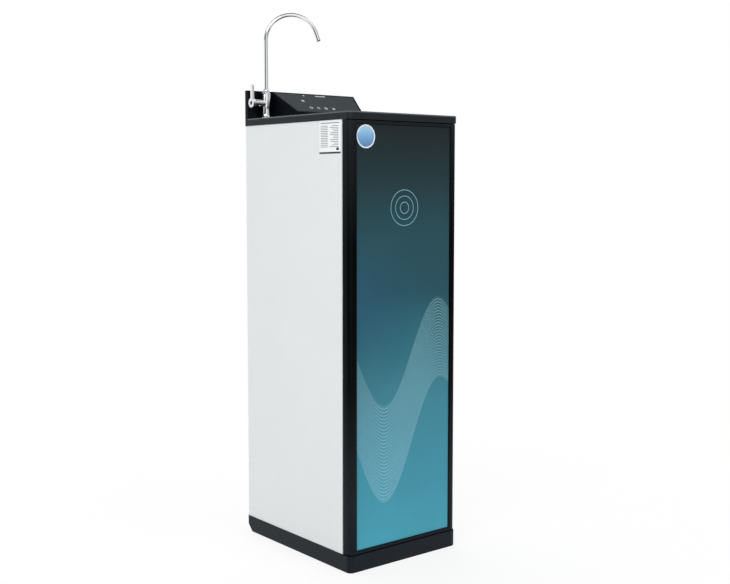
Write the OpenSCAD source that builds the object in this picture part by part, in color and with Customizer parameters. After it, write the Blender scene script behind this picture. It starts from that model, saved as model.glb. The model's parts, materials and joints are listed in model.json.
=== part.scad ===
// Water purifier cabinet with a hinged glass door, a top console and a swivel tap, in millimetres.
// Origin on the floor under the middle of the base. X is right, Y is back, Z is up.

/* [Cabinet] */
// Width of base and cap
cab_w = 305; // [300:1:330]
// Depth of base and cap
cab_d = 393; // [385:1:430]
// Height from the floor to the top of the cap
cab_h = 965; // [945:1:1020]
// Height of the base tray
base_h = 36; // [30:1:48]
// Height of the top cap
cap_h = 16; // [15:0.5:24]
// Radius of the front corners of base and cap
corner_front_r = 12; // [8:0.5:13]
// Radius of the rear corners of base and cap
corner_rear_r = 8; // [5:0.5:10]
// Thickness of the base and cap walls
wall_t = 4; // [3.5:0.5:6]
// Thickness of the base floor
floor_t = 4; // [3.5:0.5:6]
// Slope cut off the lower rear edge of the base
base_chamfer = 21; // [8:1:22]
// Thickness of the top of the cap
cap_skin = 5; // [4:0.5:6]
// Depth of the drip recess in the cap
drip_depth = 1.2; // [0.5:0.1:2]
// Rim left around the drip recess
drip_rim = 9; // [6:0.5:14]
// Radius of an anti-slip pad
pad_r = 14; // [9:0.5:17]
// Thickness of an anti-slip pad
pad_t = 2; // [1.5:0.1:2.5]
// Distance of the pads from the base edges
pad_edge = 38; // [32:1:50]

/* [Panels] */
// Distance of panels and door inside the base outline
panel_inset = 1.5; // [1:0.1:2]
// Sheet thickness of the panels
panel_t = 1; // [0.8:0.1:1.2]
// Bend radius of the rear vertical edges
panel_bend_r = 6; // [4:0.5:8]
// Bend radius of the front vertical edges
panel_front_r = 2; // [1.5:0.1:3]
// Width of the rear flanges
rear_flange = 22; // [20:0.5:28]
// Width of the front flanges
front_flange = 13; // [10:0.5:16]
// Shank radius of a panel screw
screw_r = 2; // [1.5:0.1:2.5]
// Head radius of a panel screw
screw_head_r = 4; // [3.5:0.1:4.5]
// Head thickness of a panel screw
screw_head_t = 2.2; // [1.5:0.1:3]
// Shank length of a panel screw
screw_l = 8; // [5:0.5:12]
// Distance of the end screws from the ends of the panel
screw_end = 60; // [30:1:90]
// Distance of the screws from the panel sides
screw_side = 13; // [11:0.5:14]
// Height of the lower rear panel with the power inlet
service_h = 120; // [110:1:140]
// Width of a rear vent slot
vent_w = 90; // [60:1:110]
// Height of a rear vent slot
vent_h = 5; // [4:0.5:7]
// Pitch of the rear vent slots
vent_pitch = 12; // [10:0.5:14]
// Number of rear vent slots
vents = 6; // [3:1:8]

/* [Door] */
// Thickness of the door
door_t = 25; // [24:0.5:28]
// Gap between the door and what is around it
door_gap = 1.5; // [1.4:0.1:2]
// Width of the door stiles beside the glass
stile_w = 19; // [18.5:0.5:24]
// Height of the door rails above and below the glass
rail_h = 7; // [6:0.5:10]
// Thickness of the door glass
glass_t = 4; // [3:0.5:5]
// Depth of the glass behind the front of the frame
glass_recess = 3; // [2:0.5:4]
// Ledge of the frame behind the glass edge
glass_ledge = 8; // [7:0.5:10]
// Clearance round the glass
glass_clear = 0.3; // [0.2:0.05:0.5]
// Thickness of the door liner
liner_t = 1.5; // [1:0.1:2]
// Overlap of the liner on the frame
liner_lap = 6; // [4:0.5:6.5]
// Radius of the rear corner on the free edge
door_rear_r = 2; // [1:0.5:4]
// Radius of a hinge pin
pin_r = 3; // [2.5:0.1:3.2]
// Depth of a hinge pin in base or cap
pin_seat = 11; // [8:0.5:12]
// Length of a door bush
bush_l = 12; // [10:0.5:14]
// Outer radius of a door bush
bush_r = 5; // [4.6:0.1:5.2]
// Radius of a bush flange
bush_flange_r = 11.5; // [6.5:0.1:12]
// Radial running clearance of pins and spindles
run_clear = 0.05; // [0.03:0.01:0.09]
// Clearance between flat faces that slide or nearly meet
face_clear = 0.3; // [0.2:0.05:0.5]
// Width of the strike plate and magnet catch
catch_w = 34; // [24:1:44]
// Height of the strike plate
strike_h = 6.5; // [5:0.5:7]
// Thickness of the strike plate
strike_t = 1; // [0.8:0.1:1.1]
// Height of the magnet catch
catch_h = 10; // [8:0.5:14]
// Distance of the catch from the free edge of the door
catch_edge = 40; // [36:1:60]

/* [Console] */
// Height of the console above the cap
con_h = 65; // [56:1:72]
// Depth of the console from the rear
con_d = 92; // [86:1:100]
// Depth of the flat top of the console
con_top_d = 21; // [19:0.5:24]
// Thickness of the low wall behind the tap
con_wall_t = 16; // [14:0.5:18]
// Height of the front lip of the console
con_lip_h = 16; // [14:0.5:20]
// Inward slant of each end towards the front
con_taper = 24; // [18:0.5:28]
// Distance of the break in each end behind the crest
con_break = 0.5; // [0.3:0.1:1]
// Distance from the tap axis to the console end
con_tap_gap = 23; // [22:0.5:28]
// Wall thickness of the console
con_shell = 2.5; // [2:0.1:3.2]
// Thickness of the fascia
fascia_t = 1.5; // [1.2:0.1:2]
// Border of the console round the fascia
fascia_edge = 4.5; // [3.5:0.5:6]
// Clearance round fascia and lenses
fascia_clear = 0.15; // [0.1:0.05:0.25]
// Radius of a key
key_r = 6.2; // [5:0.1:7]
// Pitch of the keys
key_pitch = 21.4; // [19.5:0.1:23]
// Distance of the first key from the console end
key_start = 74.6; // [70:0.1:80]
// Distance of the keys up the slope
key_up = 20.6; // [19:0.1:23]
// Height of a key above the fascia
key_proud = 1; // [0.9:0.1:1.5]
// Travel of a key
key_travel = 0.8; // [0.5:0.1:0.8]
// Thickness of the retaining flange of a key
key_flange_t = 1.4; // [1:0.1:2]
// Width of the retaining flange beyond the key
key_flange = 1.3; // [0.8:0.1:1.6]
// Radial clearance of a key in the fascia
key_clear = 0.1; // [0.08:0.01:0.1]
// Length of a key stem
key_stem = 2; // [1.5:0.1:3]
// Radius of a key stem
key_stem_r = 2; // [1.5:0.1:3]
// Height of a switch on the board
switch_h = 3; // [2.5:0.1:4]
// Side of a switch on the board
switch_w = 6; // [5:0.5:8]
// Thickness of the control board
board_t = 1.6; // [1.2:0.1:2]
// Length of the control board up the slope
board_l = 60; // [55:0.5:62]
// Distance of the board from the lower end of the slope
board_up = 8; // [7:0.5:9]
// Margin of the board beyond the end keys
board_side = 17; // [15:0.5:20]
// Radius of a board post
post_r = 3; // [2:0.5:4]
// Distance of the posts from the board edges
post_edge = 1; // [0.5:0.5:2]
// Radius of the wire hole in the cap
wire_r = 6; // [4:0.5:7]
// Width of the long lens
lens_w = 29; // [24:0.5:32]
// Height of the long lens and side of the small lens
lens_h = 4; // [3:0.5:5]
// Side of the low square lens
lens_s = 7; // [5:0.5:9]
// Distance of the long lens right of the first key
lens_long_at = 60; // [56:0.5:64]
// Distance of the small lens right of the first key
lens_small_at = 11; // [8:0.5:14]
// Distance of the low lens left of the first key
lens_low_at = 5; // [3:0.5:8]
// Distance of the low lens up the slope
lens_low_up = 52; // [48:0.5:56]
// Distance of the upper lenses from the fascia edge
lens_edge = 3; // [2:0.5:5]
// Rise of a lens above the fascia
lens_proud = 0.2; // [0.1:0.05:0.4]

/* [Tap] */
// Distance of the tap axis from the left side
tap_side = 39.5; // [36:0.5:46]
// Distance of the tap axis from the rear
tap_back = 33.5; // [32.5:0.5:40]
// Thickness of the tap gasket
gasket_t = 1; // [0.8:0.1:2]
// Distance of the gasket edge inside the tap flange
gasket_in = 1; // [0.5:0.5:2]
// Radius of the tap flange
flange_r = 13; // [12.5:0.1:15]
// Thickness of the tap flange
flange_t = 3.5; // [2.5:0.1:4.5]
// Bevel above the tap flange
flange_edge = 1.5; // [1:0.1:2.5]
// Height of the top of the hollow skirt above the flange
skirt_h = 18; // [15:0.5:20]
// Angle of one step round the curve of the skirt
skirt_step = 15; // [10, 15, 30]
// Radius of the narrow part of the tap body below the barrel
waist_r = 8.8; // [8.4:0.1:9.2]
// Height at which the tap body widens below the barrel
waist_up = 24; // [21:0.5:26]
// Radius of the tap body
body_r = 9.8; // [9.4:0.1:11]
// Height of the tap body
body_h = 61; // [58:1:70]
// Bevel of the top of the tap body
body_edge = 2; // [1:0.1:2.2]
// Radius of the threaded shank
shank_r = 6; // [5.5:0.1:7]
// Length of the shank below the cap top
shank_l = 45; // [35:1:55]
// Clearance of the shank in the cap
shank_clear = 0.3; // [0.2:0.05:0.5]
// Radius of the water passage
passage_r = 2.5; // [2:0.1:3]
// Radius across the corners of the tap nut
nut_r = 13; // [11:0.5:16]
// Thickness of the tap nut
nut_t = 9; // [7:0.5:12]
// Radius of the valve barrel
barrel_r = 8; // [7.5:0.1:8.8]
// Height of the barrel axis above the cap
barrel_up = 36; // [34:0.5:37]
// Radius of the valve cartridge
valve_r = 6; // [5.4:0.1:6.4]
// Length of the valve cartridge
valve_l = 23; // [20:0.5:24]
// Thickness of the closed end of the valve cartridge
valve_floor = 2; // [1.5:0.1:3]
// Clearance beyond the end of a spindle or screw
end_gap = 1; // [0.5:0.1:2]
// Radius of the lever spindle
spindle_r = 3; // [2.6:0.1:3.4]
// Distance of the lever hub centre from the tap axis
hub_out = 38; // [37:0.5:42]
// Radius of the lever hub
hub_r = 11; // [10:0.5:13]
// Thickness of the lever hub
hub_t = 7; // [6:0.5:8]
// Length of the lever above the hub axis
lever_l = 41; // [34:1:48]
// Width of the lever blade
lever_w = 8.6; // [7:0.1:10]
// Thickness of the lever blade
lever_t = 5; // [4:0.5:6]
// Radius of the lever screw head
lscrew_r = 4; // [3.5:0.1:4.5]
// Depth of the screw recess in the hub
lscrew_depth = 2.6; // [2:0.1:3.2]
// Depth of the screw head below the hub face
lscrew_sunk = 0.6; // [0.3:0.1:1]
// Length of the lever screw below its head
lscrew_l = 10; // [8:0.5:11]
// Radius of the lever screw hole
lscrew_hole_r = 1.5; // [1.2:0.1:1.8]
// Outer radius of the spout tube
spout_r = 4.6; // [4.2:0.1:5]
// Wall thickness of the spout tube
spout_wall = 1.1; // [0.9:0.1:1.4]
// Depth of the spout in the tap body
spout_seat = 18; // [15:0.5:19]
// Height of the bend start above the cap
bend_up = 179; // [150:1:220]
// Radius of the spout bend
bend_r = 59; // [50:0.5:70]
// Angle of the spout bend
bend_a = 160; // [150:1:175]
// Length of the straight end of the spout
spout_end = 19.5; // [14:0.5:30]
// Turn of the spout from the right towards the front
spout_turn = 32; // [20:1:60]
// Length of the nozzle beyond the spout
nozzle_out = 1.6; // [1:0.1:3]
// Length of the nozzle inside the spout
nozzle_in = 8; // [6:0.5:12]
// Radius of the nozzle bore
nozzle_r = 1.6; // [1.2:0.1:2.2]
// Step of the nozzle rim inside the spout edge
nozzle_step = 0.3; // [0.2:0.1:0.5]
// Height of the spout collar
collar_h = 7; // [5:0.5:9]
// Radius of the spout collar
collar_r = 7; // [6.4:0.1:7.6]
// Height of the straight foot of the collar
collar_land = 2.8; // [2:0.1:4]
// Width of the collar lip
collar_lip = 0.8; // [0.5:0.1:1.2]
// Height of the spout seal
seal_h = 3; // [2:0.5:4]
// Radial depth of the spout seal
seal_t = 1.8; // [1.4:0.1:2.2]

/* [Inside] */
// Space between the tank valve and the middle shelf
shelf_gap = 36; // [26:0.5:50]
// Sheet thickness of shelf and bracket
sheet_t = 1.5; // [1.2:0.1:2]
// Depth of the folded front edge of the shelf
shelf_fold = 18; // [12:0.5:22]
// Distance of the shelf behind the panels' front edge
shelf_back = 22; // [18:0.5:30]
// Radius of the grommet in the shelf
grommet_r = 9.5; // [8:0.5:11]
// Width of the grommet lip
grommet_lip = 3; // [2:0.5:5]
// Thickness of the grommet lip
grommet_t = 2; // [1.5:0.1:3]
// Space round the tube in the grommet
grommet_gap = 2.2; // [1.5:0.1:3]
// Distance of the filter bracket behind the door
bracket_back = 135; // [130:1:140]
// Gap from the bracket edges to the panels
bracket_side = 3; // [2:0.5:6]
// Width of the bracket foot
bracket_foot = 20; // [16:0.5:24]
// Height of the bracket above the filter heads
bracket_over = 6; // [4:0.5:10]
// Radius of a filter cartridge
cart_r = 41; // [36:0.5:43]
// Length of a filter cartridge
cart_h = 310; // [280:1:330]
// Rounding of the lower end of a cartridge
cart_round = 8; // [5:0.5:12]
// Height of the cartridges above the shelf
cart_up = 55; // [40:1:60]
// Distance of the cartridge axis from the bracket
cart_out = 54; // [52:0.5:62]
// Radius of a cartridge neck
neck_r = 19; // [16:0.5:22]
// Length of a cartridge neck
neck_h = 20; // [16:0.5:24]
// Radial clearance of a neck in its head
neck_clear = 0.3; // [0.2:0.05:0.4]
// Space above a cartridge neck
neck_room = 2; // [1:0.5:4]
// Radius of a filter head
head_r = 34; // [30:0.5:38]
// Height of a filter head
head_h = 34; // [30:0.5:40]
// Width of the block behind a filter head
head_block = 50; // [40:1:60]
// Number of grip ribs on a cartridge
ribs = 10; // [6:1:14]
// Length of the grip ribs on a cartridge
rib_h = 70; // [50:1:90]
// Width of a grip rib
rib_w = 5; // [4:0.5:7]
// Rise of a grip rib
rib_out = 2; // [1.5:0.1:2.5]
// Radius of a tube stub
stub_r = 6; // [5:0.5:7]
// Length of a tube stub
stub_l = 12; // [9:0.5:16]
// Outer radius of a water tube
tube_r = 3.175; // [3.1:0.025:3.3]
// Radius of the membrane housing
mem_r = 36; // [32:0.5:38]
// Length of the membrane housing
mem_h = 290; // [260:1:310]
// Radius of the membrane cap
mem_cap_r = 39; // [38.5:0.5:41]
// Height of the membrane cap
mem_cap_h = 36; // [30:0.5:42]
// Space between the membrane cap and the left panel
mem_gap = 9; // [6:0.5:12]
// Radius of a post filter
post_filter_r = 26; // [22:0.5:27]
// Length of a post filter
post_filter_h = 270; // [240:1:300]
// Height of the rear filters above the shelf
post_up = 75; // [60:1:80]
// Space between a filter and the bracket
clip_gap = 12; // [10:0.5:14]
// Thickness of a filter clip
clip_t = 2.5; // [2:0.1:3]
// Height of a filter clip
clip_h = 14; // [10:0.5:18]
// Distance of the clips from the ends of the post filters
clip_end = 54; // [40:1:70]
// Clearance of a filter in its clip
clip_clear = 0.3; // [0.2:0.05:0.4]
// Width of the block behind a filter clip
clip_w = 16; // [12:0.5:20]
// Radius of the pump motor
motor_r = 32; // [28:0.5:36]
// Length of the pump motor
motor_l = 92; // [80:1:100]
// Radius of the motor end boss
boss_r = 11; // [9:0.5:14]
// Length of the motor end boss
boss_l = 6; // [4:0.5:10]
// Radius of the pump head
pump_r = 34; // [30:0.5:37]
// Length of the pump head
pump_l = 44; // [36:1:52]
// Distance of the pump axis from the rear panel
pump_back = 62; // [54:0.5:68]
// Height of a pump foot
foot_h = 12; // [8:0.5:16]
// Radius of a pump foot
foot_r = 7; // [5:0.5:9]
// Distance of the feet from the plate edges
foot_edge = 2; // [1:0.5:4]
// Thickness of the pump base plate
plate_t = 3; // [2:0.5:4]
// Width of the pump base plate
plate_w = 74; // [66:1:84]
// Width of the solenoid valve block
sol_w = 30; // [26:0.5:34]
// Length of the solenoid valve block
sol_l = 58; // [52:0.5:64]
// Height of the solenoid valve block
sol_h = 26; // [22:0.5:30]
// Space between the solenoid valve and the right panel
sol_side = 40; // [32:0.5:46]
// Space from the solenoid valve to the rear panel
sol_back = 40; // [38:0.5:50]
// Distance of coil and outlet from the ends of the block
sol_edge = 4; // [3:0.5:5]
// Radius of the solenoid coil
coil_r = 13; // [11:0.5:14]
// Height of the solenoid coil
coil_h = 32; // [24:1:40]
// Width of the power supply
psu_w = 120; // [100:1:130]
// Height of the power supply
psu_h = 64; // [50:1:80]
// Depth of the power supply
psu_d = 36; // [28:1:42]
// Height of the power supply above the shelf
psu_up = 230; // [200:1:260]
// Width of the power inlet
inlet_w = 30; // [26:1:36]
// Height of the power inlet
inlet_h = 22; // [18:1:26]
// Depth of the power inlet behind the panel
inlet_d = 24; // [18:1:28]
// Space between the power inlet and the right panel
inlet_side = 40; // [32:1:50]
// Height of the power inlet above the base
inlet_up = 60; // [40:1:90]
// Border of the power inlet outside the panel
inlet_lip = 4; // [3:0.5:6]
// Wall of the power inlet round its socket
inlet_wall = 3; // [2:0.5:4]
// Thickness of the closed end of the power inlet
inlet_floor = 5; // [4:0.5:7]
// Thickness of a socket pin
blade_t = 2; // [1.5:0.1:2.5]
// Width of a socket pin
blade_w = 4; // [3:0.5:5]
// Pitch of the socket pins
blade_pitch = 10; // [8:0.5:12]
// Depth of the pin ends behind the panel
blade_deep = 8; // [6:0.5:12]
// Radius of the pressure tank
tank_r = 118; // [100:1:122]
// Height of the pressure tank
tank_h = 322; // [280:1:328]
// Rounding of the tank ends
tank_round = 42; // [30:1:60]
// Wall thickness of the tank
tank_wall = 1.5; // [1.2:0.1:2.5]
// Height of the tank stand
stand_h = 20; // [14:1:26]
// Wall thickness of the tank stand
stand_t = 12; // [8:0.5:16]
// Distance of the tank behind the middle
tank_back = 14; // [8:0.5:20]
// Radius of the tank neck
tank_neck_r = 10; // [8:0.5:12]
// Height of the tank neck
tank_neck_h = 12; // [10:0.5:16]
// Radius of the tank valve
tvalve_r = 12; // [11:0.5:14]
// Height of the tank valve
tvalve_h = 34; // [30:0.5:38]
// Length of the boss that carries the tank valve lever
tvalve_boss = 4; // [3:0.5:6]
// Depth of the lever spindle in the tank valve
tvalve_deep = 6; // [4:0.5:8]
// Radius of the tank valve boss and of the lever hub
tlever_hub_r = 7; // [6.5:0.5:9]
// Length of the tank valve lever
tlever_l = 34; // [28:0.5:36]
// Width of the tank valve lever
tlever_w = 10; // [8:0.5:12]
// Thickness of the tank valve lever
tlever_t = 4; // [3:0.5:5]
// Radius of a rear tube fitting
fit_r = 7; // [6:0.5:8]
// Length of a rear fitting outside the panel
fit_out = 9; // [7:0.5:12]
// Length of a rear fitting inside the panel
fit_in = 16; // [12:0.5:18]
// Depth of the tube bore in a rear fitting
fit_bore = 14; // [10:0.5:18]
// Radial clearance of a tube in a rear fitting
fit_clear = 0.05; // [0.03:0.01:0.09]
// Radius of the flange of a rear fitting
fit_flange_r = 11; // [9:0.5:13]
// Thickness of the flange of a rear fitting
fit_flange_t = 3; // [2:0.5:4]
// Height of the drain fitting above the shelf
drain_up = 170; // [140:1:200]

/* [Hidden] */
$fn = 64;
tiny = 1;
big = 2000;
sliver = 0.01;
tube_sides = 10;
tube_steps = 18;
half_w = cab_w / 2;
front_y = -cab_d / 2;
rear_y = cab_d / 2;
cap_z = cab_h - cap_h;
skin_x = half_w - panel_inset;
skin_rear_y = rear_y - panel_inset;
inner_x = skin_x - panel_t;
inner_y = skin_rear_y - 2 * panel_t;
door_front_y = front_y + panel_inset;
door_rear_y = door_front_y + door_t;
panel_front_y = door_rear_y + door_gap;
sill_y = panel_front_y + wall_t;
panel_h = cap_z - base_h;
service_z = base_h + service_h;

door_z0 = base_h + door_gap;
door_z1 = cap_z - door_gap;
door_h = door_z1 - door_z0;
hinge_x = skin_x - door_t / 2;
hinge_y = door_front_y + door_t / 2;
hinge_round = door_t / 2 - sliver;
glass_x = skin_x - stile_w - glass_clear;
glass_z0 = door_z0 + rail_h + glass_clear;
glass_h = door_h - 2 * rail_h - 2 * glass_clear;
glass_y = door_front_y + glass_recess;
window_x = glass_x - glass_ledge;
window_z0 = glass_z0 + glass_ledge;
window_h = glass_h - 2 * glass_ledge;
liner_x = window_x + liner_lap;
liner_z0 = window_z0 - liner_lap;
liner_h = window_h + 2 * liner_lap;
flange_gap = door_gap - face_clear;
catch_x = -skin_x + catch_edge;

tap_x = -half_w + tap_side;
tap_y = rear_y - tap_back;
tap_z = cab_h + gasket_t;
body_top = tap_z + body_h;
skirt_low = flange_t + flange_edge;
skirt_out = flange_r - flange_edge - waist_r;
barrel_z = cab_h + barrel_up;
hub_x = tap_x - hub_out;
barrel_end = hub_out - hub_t / 2 - face_clear;
lscrew_end = lscrew_depth + lscrew_l - hub_t / 2;
spout_bore = spout_r - spout_wall;
spout_z0 = body_top - spout_seat;
bend_z = cab_h + bend_up;
bend_step = 0.05;
seal_z = body_top - spout_seat / 2;
valve_in = barrel_end - valve_l;
spindle_in = valve_in + valve_floor + end_gap;

con_y0 = rear_y - con_d;
con_y1 = rear_y - con_top_d;
con_break_y = con_y1 + con_break;
con_wall_y = rear_y - con_wall_t;
con_left = tap_x + con_tap_gap;
con_run = con_d - con_top_d;
con_rise = con_h - con_lip_h;
slope_a = atan2(con_rise, con_run);
slope_l = sqrt(con_run * con_run + con_rise * con_rise);
con_skin = con_shell + fascia_t;
key_x = con_left + key_start;
key_flange_top = con_skin + face_clear;
key_stem_end = key_flange_top + key_flange_t + key_stem;
switch_top = key_stem_end + key_travel + fascia_clear;
board_top = switch_top + switch_h;
board_x0 = key_x - board_side;
board_w = 3 * key_pitch + 2 * board_side;
lens_up = slope_l - fascia_edge - lens_h / 2 - lens_edge;
lens_long_x = key_x + lens_long_at;
lens_small_x = key_x + lens_small_at;
lens_low_x = key_x - lens_low_at;

tank_z = floor_t + stand_h;
tank_top = tank_z + tank_h;
tank_flat = tank_r - tank_round;
tvalve_z = tank_top + tank_neck_h;
tvalve_top = tvalve_z + tvalve_h;
shelf_z = tvalve_top + stub_l + shelf_gap;
bracket_y = door_rear_y + bracket_back;
bracket_rear = bracket_y + sheet_t;
cart_pitch = 2 * inner_x / 3;
cart_y = bracket_y - cart_out;
cart_z = shelf_z + cart_up;
cart_top = cart_z + cart_h;
head_z = cart_top + face_clear;
head_top = head_z + head_h;
bracket_top = head_top + bracket_over;
rear_z = shelf_z + post_up;
mem_x = -inner_x + mem_gap + mem_cap_r;
mem_right = mem_x + mem_cap_r;
mem_y = bracket_rear + clip_gap + mem_r;
post_y = bracket_rear + clip_gap + post_filter_r;
post_pitch = (inner_x - mem_right) / 3;
post_mid = mem_right + 3 * post_pitch / 2;
post_top = rear_z + post_filter_h;
mem_top = rear_z + mem_h + mem_cap_h;
pump_y = inner_y - pump_back;
pump_z = shelf_z + foot_h + plate_t + motor_r;
pump_x1 = mem_x + pump_l / 2;
motor_x1 = pump_x1 + motor_l;
inlet_x = inner_x - inlet_side - inlet_w / 2;
sol_x = inner_x - sol_side - sol_w / 2;
sol_y1 = inner_y - sol_back;
sol_y0 = sol_y1 - sol_l;
sol_port_z = shelf_z + sol_h / 2;
sol_out_y = sol_y0 + stub_r + sol_edge;
coil_y = sol_y1 - coil_r - sol_edge;
tlever_z = tvalve_z + tvalve_h / 2;
tlever_y = tank_back - tvalve_r - tvalve_boss;
drain_z = shelf_z + drain_up;
panel_out_y = skin_rear_y - panel_t;

tap_foot_z = cab_h - shank_l;
post_in_z = rear_z - stub_l;
post_out_z = post_top + stub_l;
mem_out_z = mem_top + stub_l;
pump_port_y = pump_y - pump_r - stub_l;
sol_out_z = shelf_z + sol_h + stub_l;
sol_in_y = sol_y1 + stub_l;
head_in_z = head_top + stub_l;
fit_end_y = inner_y - fit_in;

// How far the tubes run on from their ends before they bend
lead_fit = 2;
lead_tank = 20;
lead_short = 30;
lead_long = 90;
lead_drain = 170;
lead_feed = 480;

tank_route = [[0, tank_back, tvalve_top + stub_l], [0, tank_back, shelf_z + lead_tank],
    [post_mid - post_pitch, post_y, post_in_z - lead_short], [post_mid - post_pitch, post_y, post_in_z]];
tap_route = [[tap_x, tap_y, tap_foot_z], [tap_x, tap_y, tap_foot_z - lead_long],
    [post_mid, post_y, post_out_z + lead_long], [post_mid, post_y, post_out_z]];
drain_route = [[mem_x, mem_y, mem_out_z], [mem_x, mem_y, mem_out_z + lead_drain],
    [mem_x, fit_end_y - lead_tank, drain_z], [mem_x, fit_end_y, drain_z]];
pump_route = [[mem_x, pump_port_y, pump_z], [mem_x, pump_port_y - lead_short, pump_z],
    [mem_x, mem_y, post_in_z - lead_short], [mem_x, mem_y, post_in_z]];
feed_route = [[sol_x, sol_out_y, sol_out_z], [sol_x, sol_out_y, sol_out_z + lead_feed],
    [cart_pitch, cart_y, head_in_z + lead_long], [cart_pitch, cart_y, head_in_z]];
inlet_route = [[sol_x, sol_in_y, sol_port_z], [sol_x, sol_in_y + lead_fit, sol_port_z],
    [sol_x, fit_end_y - lead_fit, sol_port_z], [sol_x, fit_end_y, sol_port_z]];
grommet_at = bez(tank_route, share_at(tank_route, shelf_z, 0, 1, 24));

// Helpers

module corner_off(x, y, r, turn) {
    translate([x, y]) rotate(turn) difference() {
        translate([-tiny, -tiny]) square(r + tiny);
        translate([r, r]) circle(r);
    }
}

module plan(x0, x1, y0, y1, front_left, front_right, rear_left, rear_right) {
    difference() {
        translate([x0, y0]) square([x1 - x0, y1 - y0]);
        corner_off(x0, y0, front_left, 0);
        corner_off(x1, y0, front_right, 90);
        corner_off(x1, y1, rear_right, 180);
        corner_off(x0, y1, rear_left, 270);
    }
}

module footprint() {
    plan(-half_w, half_w, front_y, rear_y, corner_front_r, corner_front_r, corner_rear_r, corner_rear_r);
}

module block(x0, x1, y0, y1, z0, z1) {
    translate([x0, y0, z0]) cube([x1 - x0, y1 - y0, z1 - z0]);
}

module post(x, y, z, r, h) {
    translate([x, y, z]) cylinder(r = r, h = h);
}

module rod_y(x, y, z, r, l) {
    translate([x, y, z]) rotate([-90, 0, 0]) cylinder(r = r, h = l);
}

module rod_x(x, y, z, r, l) {
    translate([x, y, z]) rotate([0, 90, 0]) cylinder(r = r, h = l);
}

module ring(x, y, z, r_out, r_in, h) {
    translate([x, y, z]) difference() {
        cylinder(r = r_out, h = h);
        translate([0, 0, -tiny]) cylinder(r = r_in, h = h + 2 * tiny);
    }
}

module on_slope() {
    translate([0, con_y0, cab_h + con_lip_h]) rotate([slope_a, 0, 0]) children();
}

function bez(p, t) = pow(1 - t, 3) * p[0] + 3 * pow(1 - t, 2) * t * p[1]
    + 3 * (1 - t) * t * t * p[2] + t * t * t * p[3];

function bez_way(p, t) = pow(1 - t, 2) * (p[1] - p[0]) + 2 * (1 - t) * t * (p[2] - p[1])
    + t * t * (p[3] - p[2]);

function share_at(p, z, low, high, rounds) = let (middle = (low + high) / 2)
    rounds == 0 ? middle
    : bez(p, middle)[2] < z ? share_at(p, z, middle, high, rounds - 1)
    : share_at(p, z, low, middle, rounds - 1);

function unit(v) = v / norm(v);

module tube(p, side) {
    points = [for (i = [0 : tube_steps]) let (
        t = i / tube_steps,
        way = unit(bez_way(p, t)),
        u = unit(cross(way, side)),
        v = cross(way, u))
        for (k = [0 : tube_sides - 1])
            bez(p, t) + tube_r * (cos(360 * k / tube_sides) * u + sin(360 * k / tube_sides) * v)];
    sides = [for (i = [0 : tube_steps - 1]) for (k = [0 : tube_sides - 1]) let (
        a = i * tube_sides + k,
        b = i * tube_sides + (k + 1) % tube_sides)
        [a, b, b + tube_sides, a + tube_sides]];
    start = [[for (k = [tube_sides - 1 : -1 : 0]) k]];
    finish = [[for (k = [0 : tube_sides - 1]) tube_steps * tube_sides + k]];
    polyhedron(points, concat(sides, start, finish), convexity = 6);
}

// Cabinet

module pad_places() {
    for (x = [-half_w + pad_edge, half_w - pad_edge])
        for (y = [front_y + pad_edge, rear_y - pad_edge])
            translate([x, y, 0]) children();
}

module base_tray() {
    color("#161719") difference() {
        linear_extrude(base_h) footprint();
        block(-half_w + wall_t, half_w - wall_t, sill_y, rear_y - base_chamfer, floor_t, base_h + tiny);
        rotate([90, 0, 90]) translate([0, 0, -cab_w]) linear_extrude(2 * cab_w)
            polygon([[rear_y - base_chamfer, 0], [rear_y, base_chamfer], [rear_y + tiny, base_chamfer],
                [rear_y + tiny, -tiny], [rear_y - base_chamfer, -tiny]]);
        translate([0, 0, -tiny]) pad_places() cylinder(r = pad_r + face_clear, h = pad_t + tiny);
        post(hinge_x, hinge_y, base_h - pin_seat, pin_r, pin_seat + tiny);
    }
}

module base_pads() {
    color("#2a2a2a") pad_places() cylinder(r = pad_r, h = pad_t);
}

module panel_ring() {
    difference() {
        plan(-skin_x, skin_x, panel_front_y, skin_rear_y,
            panel_front_r, panel_front_r, panel_bend_r, panel_bend_r);
        plan(-inner_x, inner_x, panel_front_y + panel_t, skin_rear_y - panel_t,
            panel_front_r - panel_t, panel_front_r - panel_t, panel_bend_r - panel_t, panel_bend_r - panel_t);
    }
}

module screw_places() {
    for (x = [-skin_x + screw_side, skin_x - screw_side])
        for (z = [base_h + screw_end, (base_h + cap_z) / 2, cap_z - screw_end])
            translate([x, skin_rear_y, z]) rotate([90, 0, 0]) children();
}

module screw_holes() {
    translate([0, tiny, 0]) screw_places() cylinder(r = screw_r + face_clear, h = 4 * panel_t + tiny);
}

module side_panel(side) {
    difference() {
        translate([0, 0, base_h]) linear_extrude(panel_h) intersection() {
            panel_ring();
            union() {
                translate([side > 0 ? skin_x - rear_flange : -skin_x, 0]) square([rear_flange, rear_y]);
                translate([side > 0 ? skin_x - front_flange : -skin_x, front_y]) square([front_flange, -front_y]);
            }
        }
        screw_holes();
    }
}

module left_panel() {
    color("#e2e4e3") side_panel(-1);
}

module right_panel() {
    color("#e2e4e3") side_panel(1);
}

module rear_panel() {
    color("#c9cccb") difference() {
        block(-skin_x + panel_bend_r, skin_x - panel_bend_r, inner_y, panel_out_y, service_z + face_clear, cap_z);
        screw_holes();
        for (i = [0 : vents - 1])
            block(-vent_w / 2, vent_w / 2, inner_y - tiny, panel_out_y + tiny,
                cap_z - 2 * screw_end - i * vent_pitch, cap_z - 2 * screw_end - i * vent_pitch + vent_h);
        rod_y(sol_x, inner_y - tiny, sol_port_z, fit_r + face_clear, panel_t + 2 * tiny);
        rod_y(mem_x, inner_y - tiny, drain_z, fit_r + face_clear, panel_t + 2 * tiny);
    }
}

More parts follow.
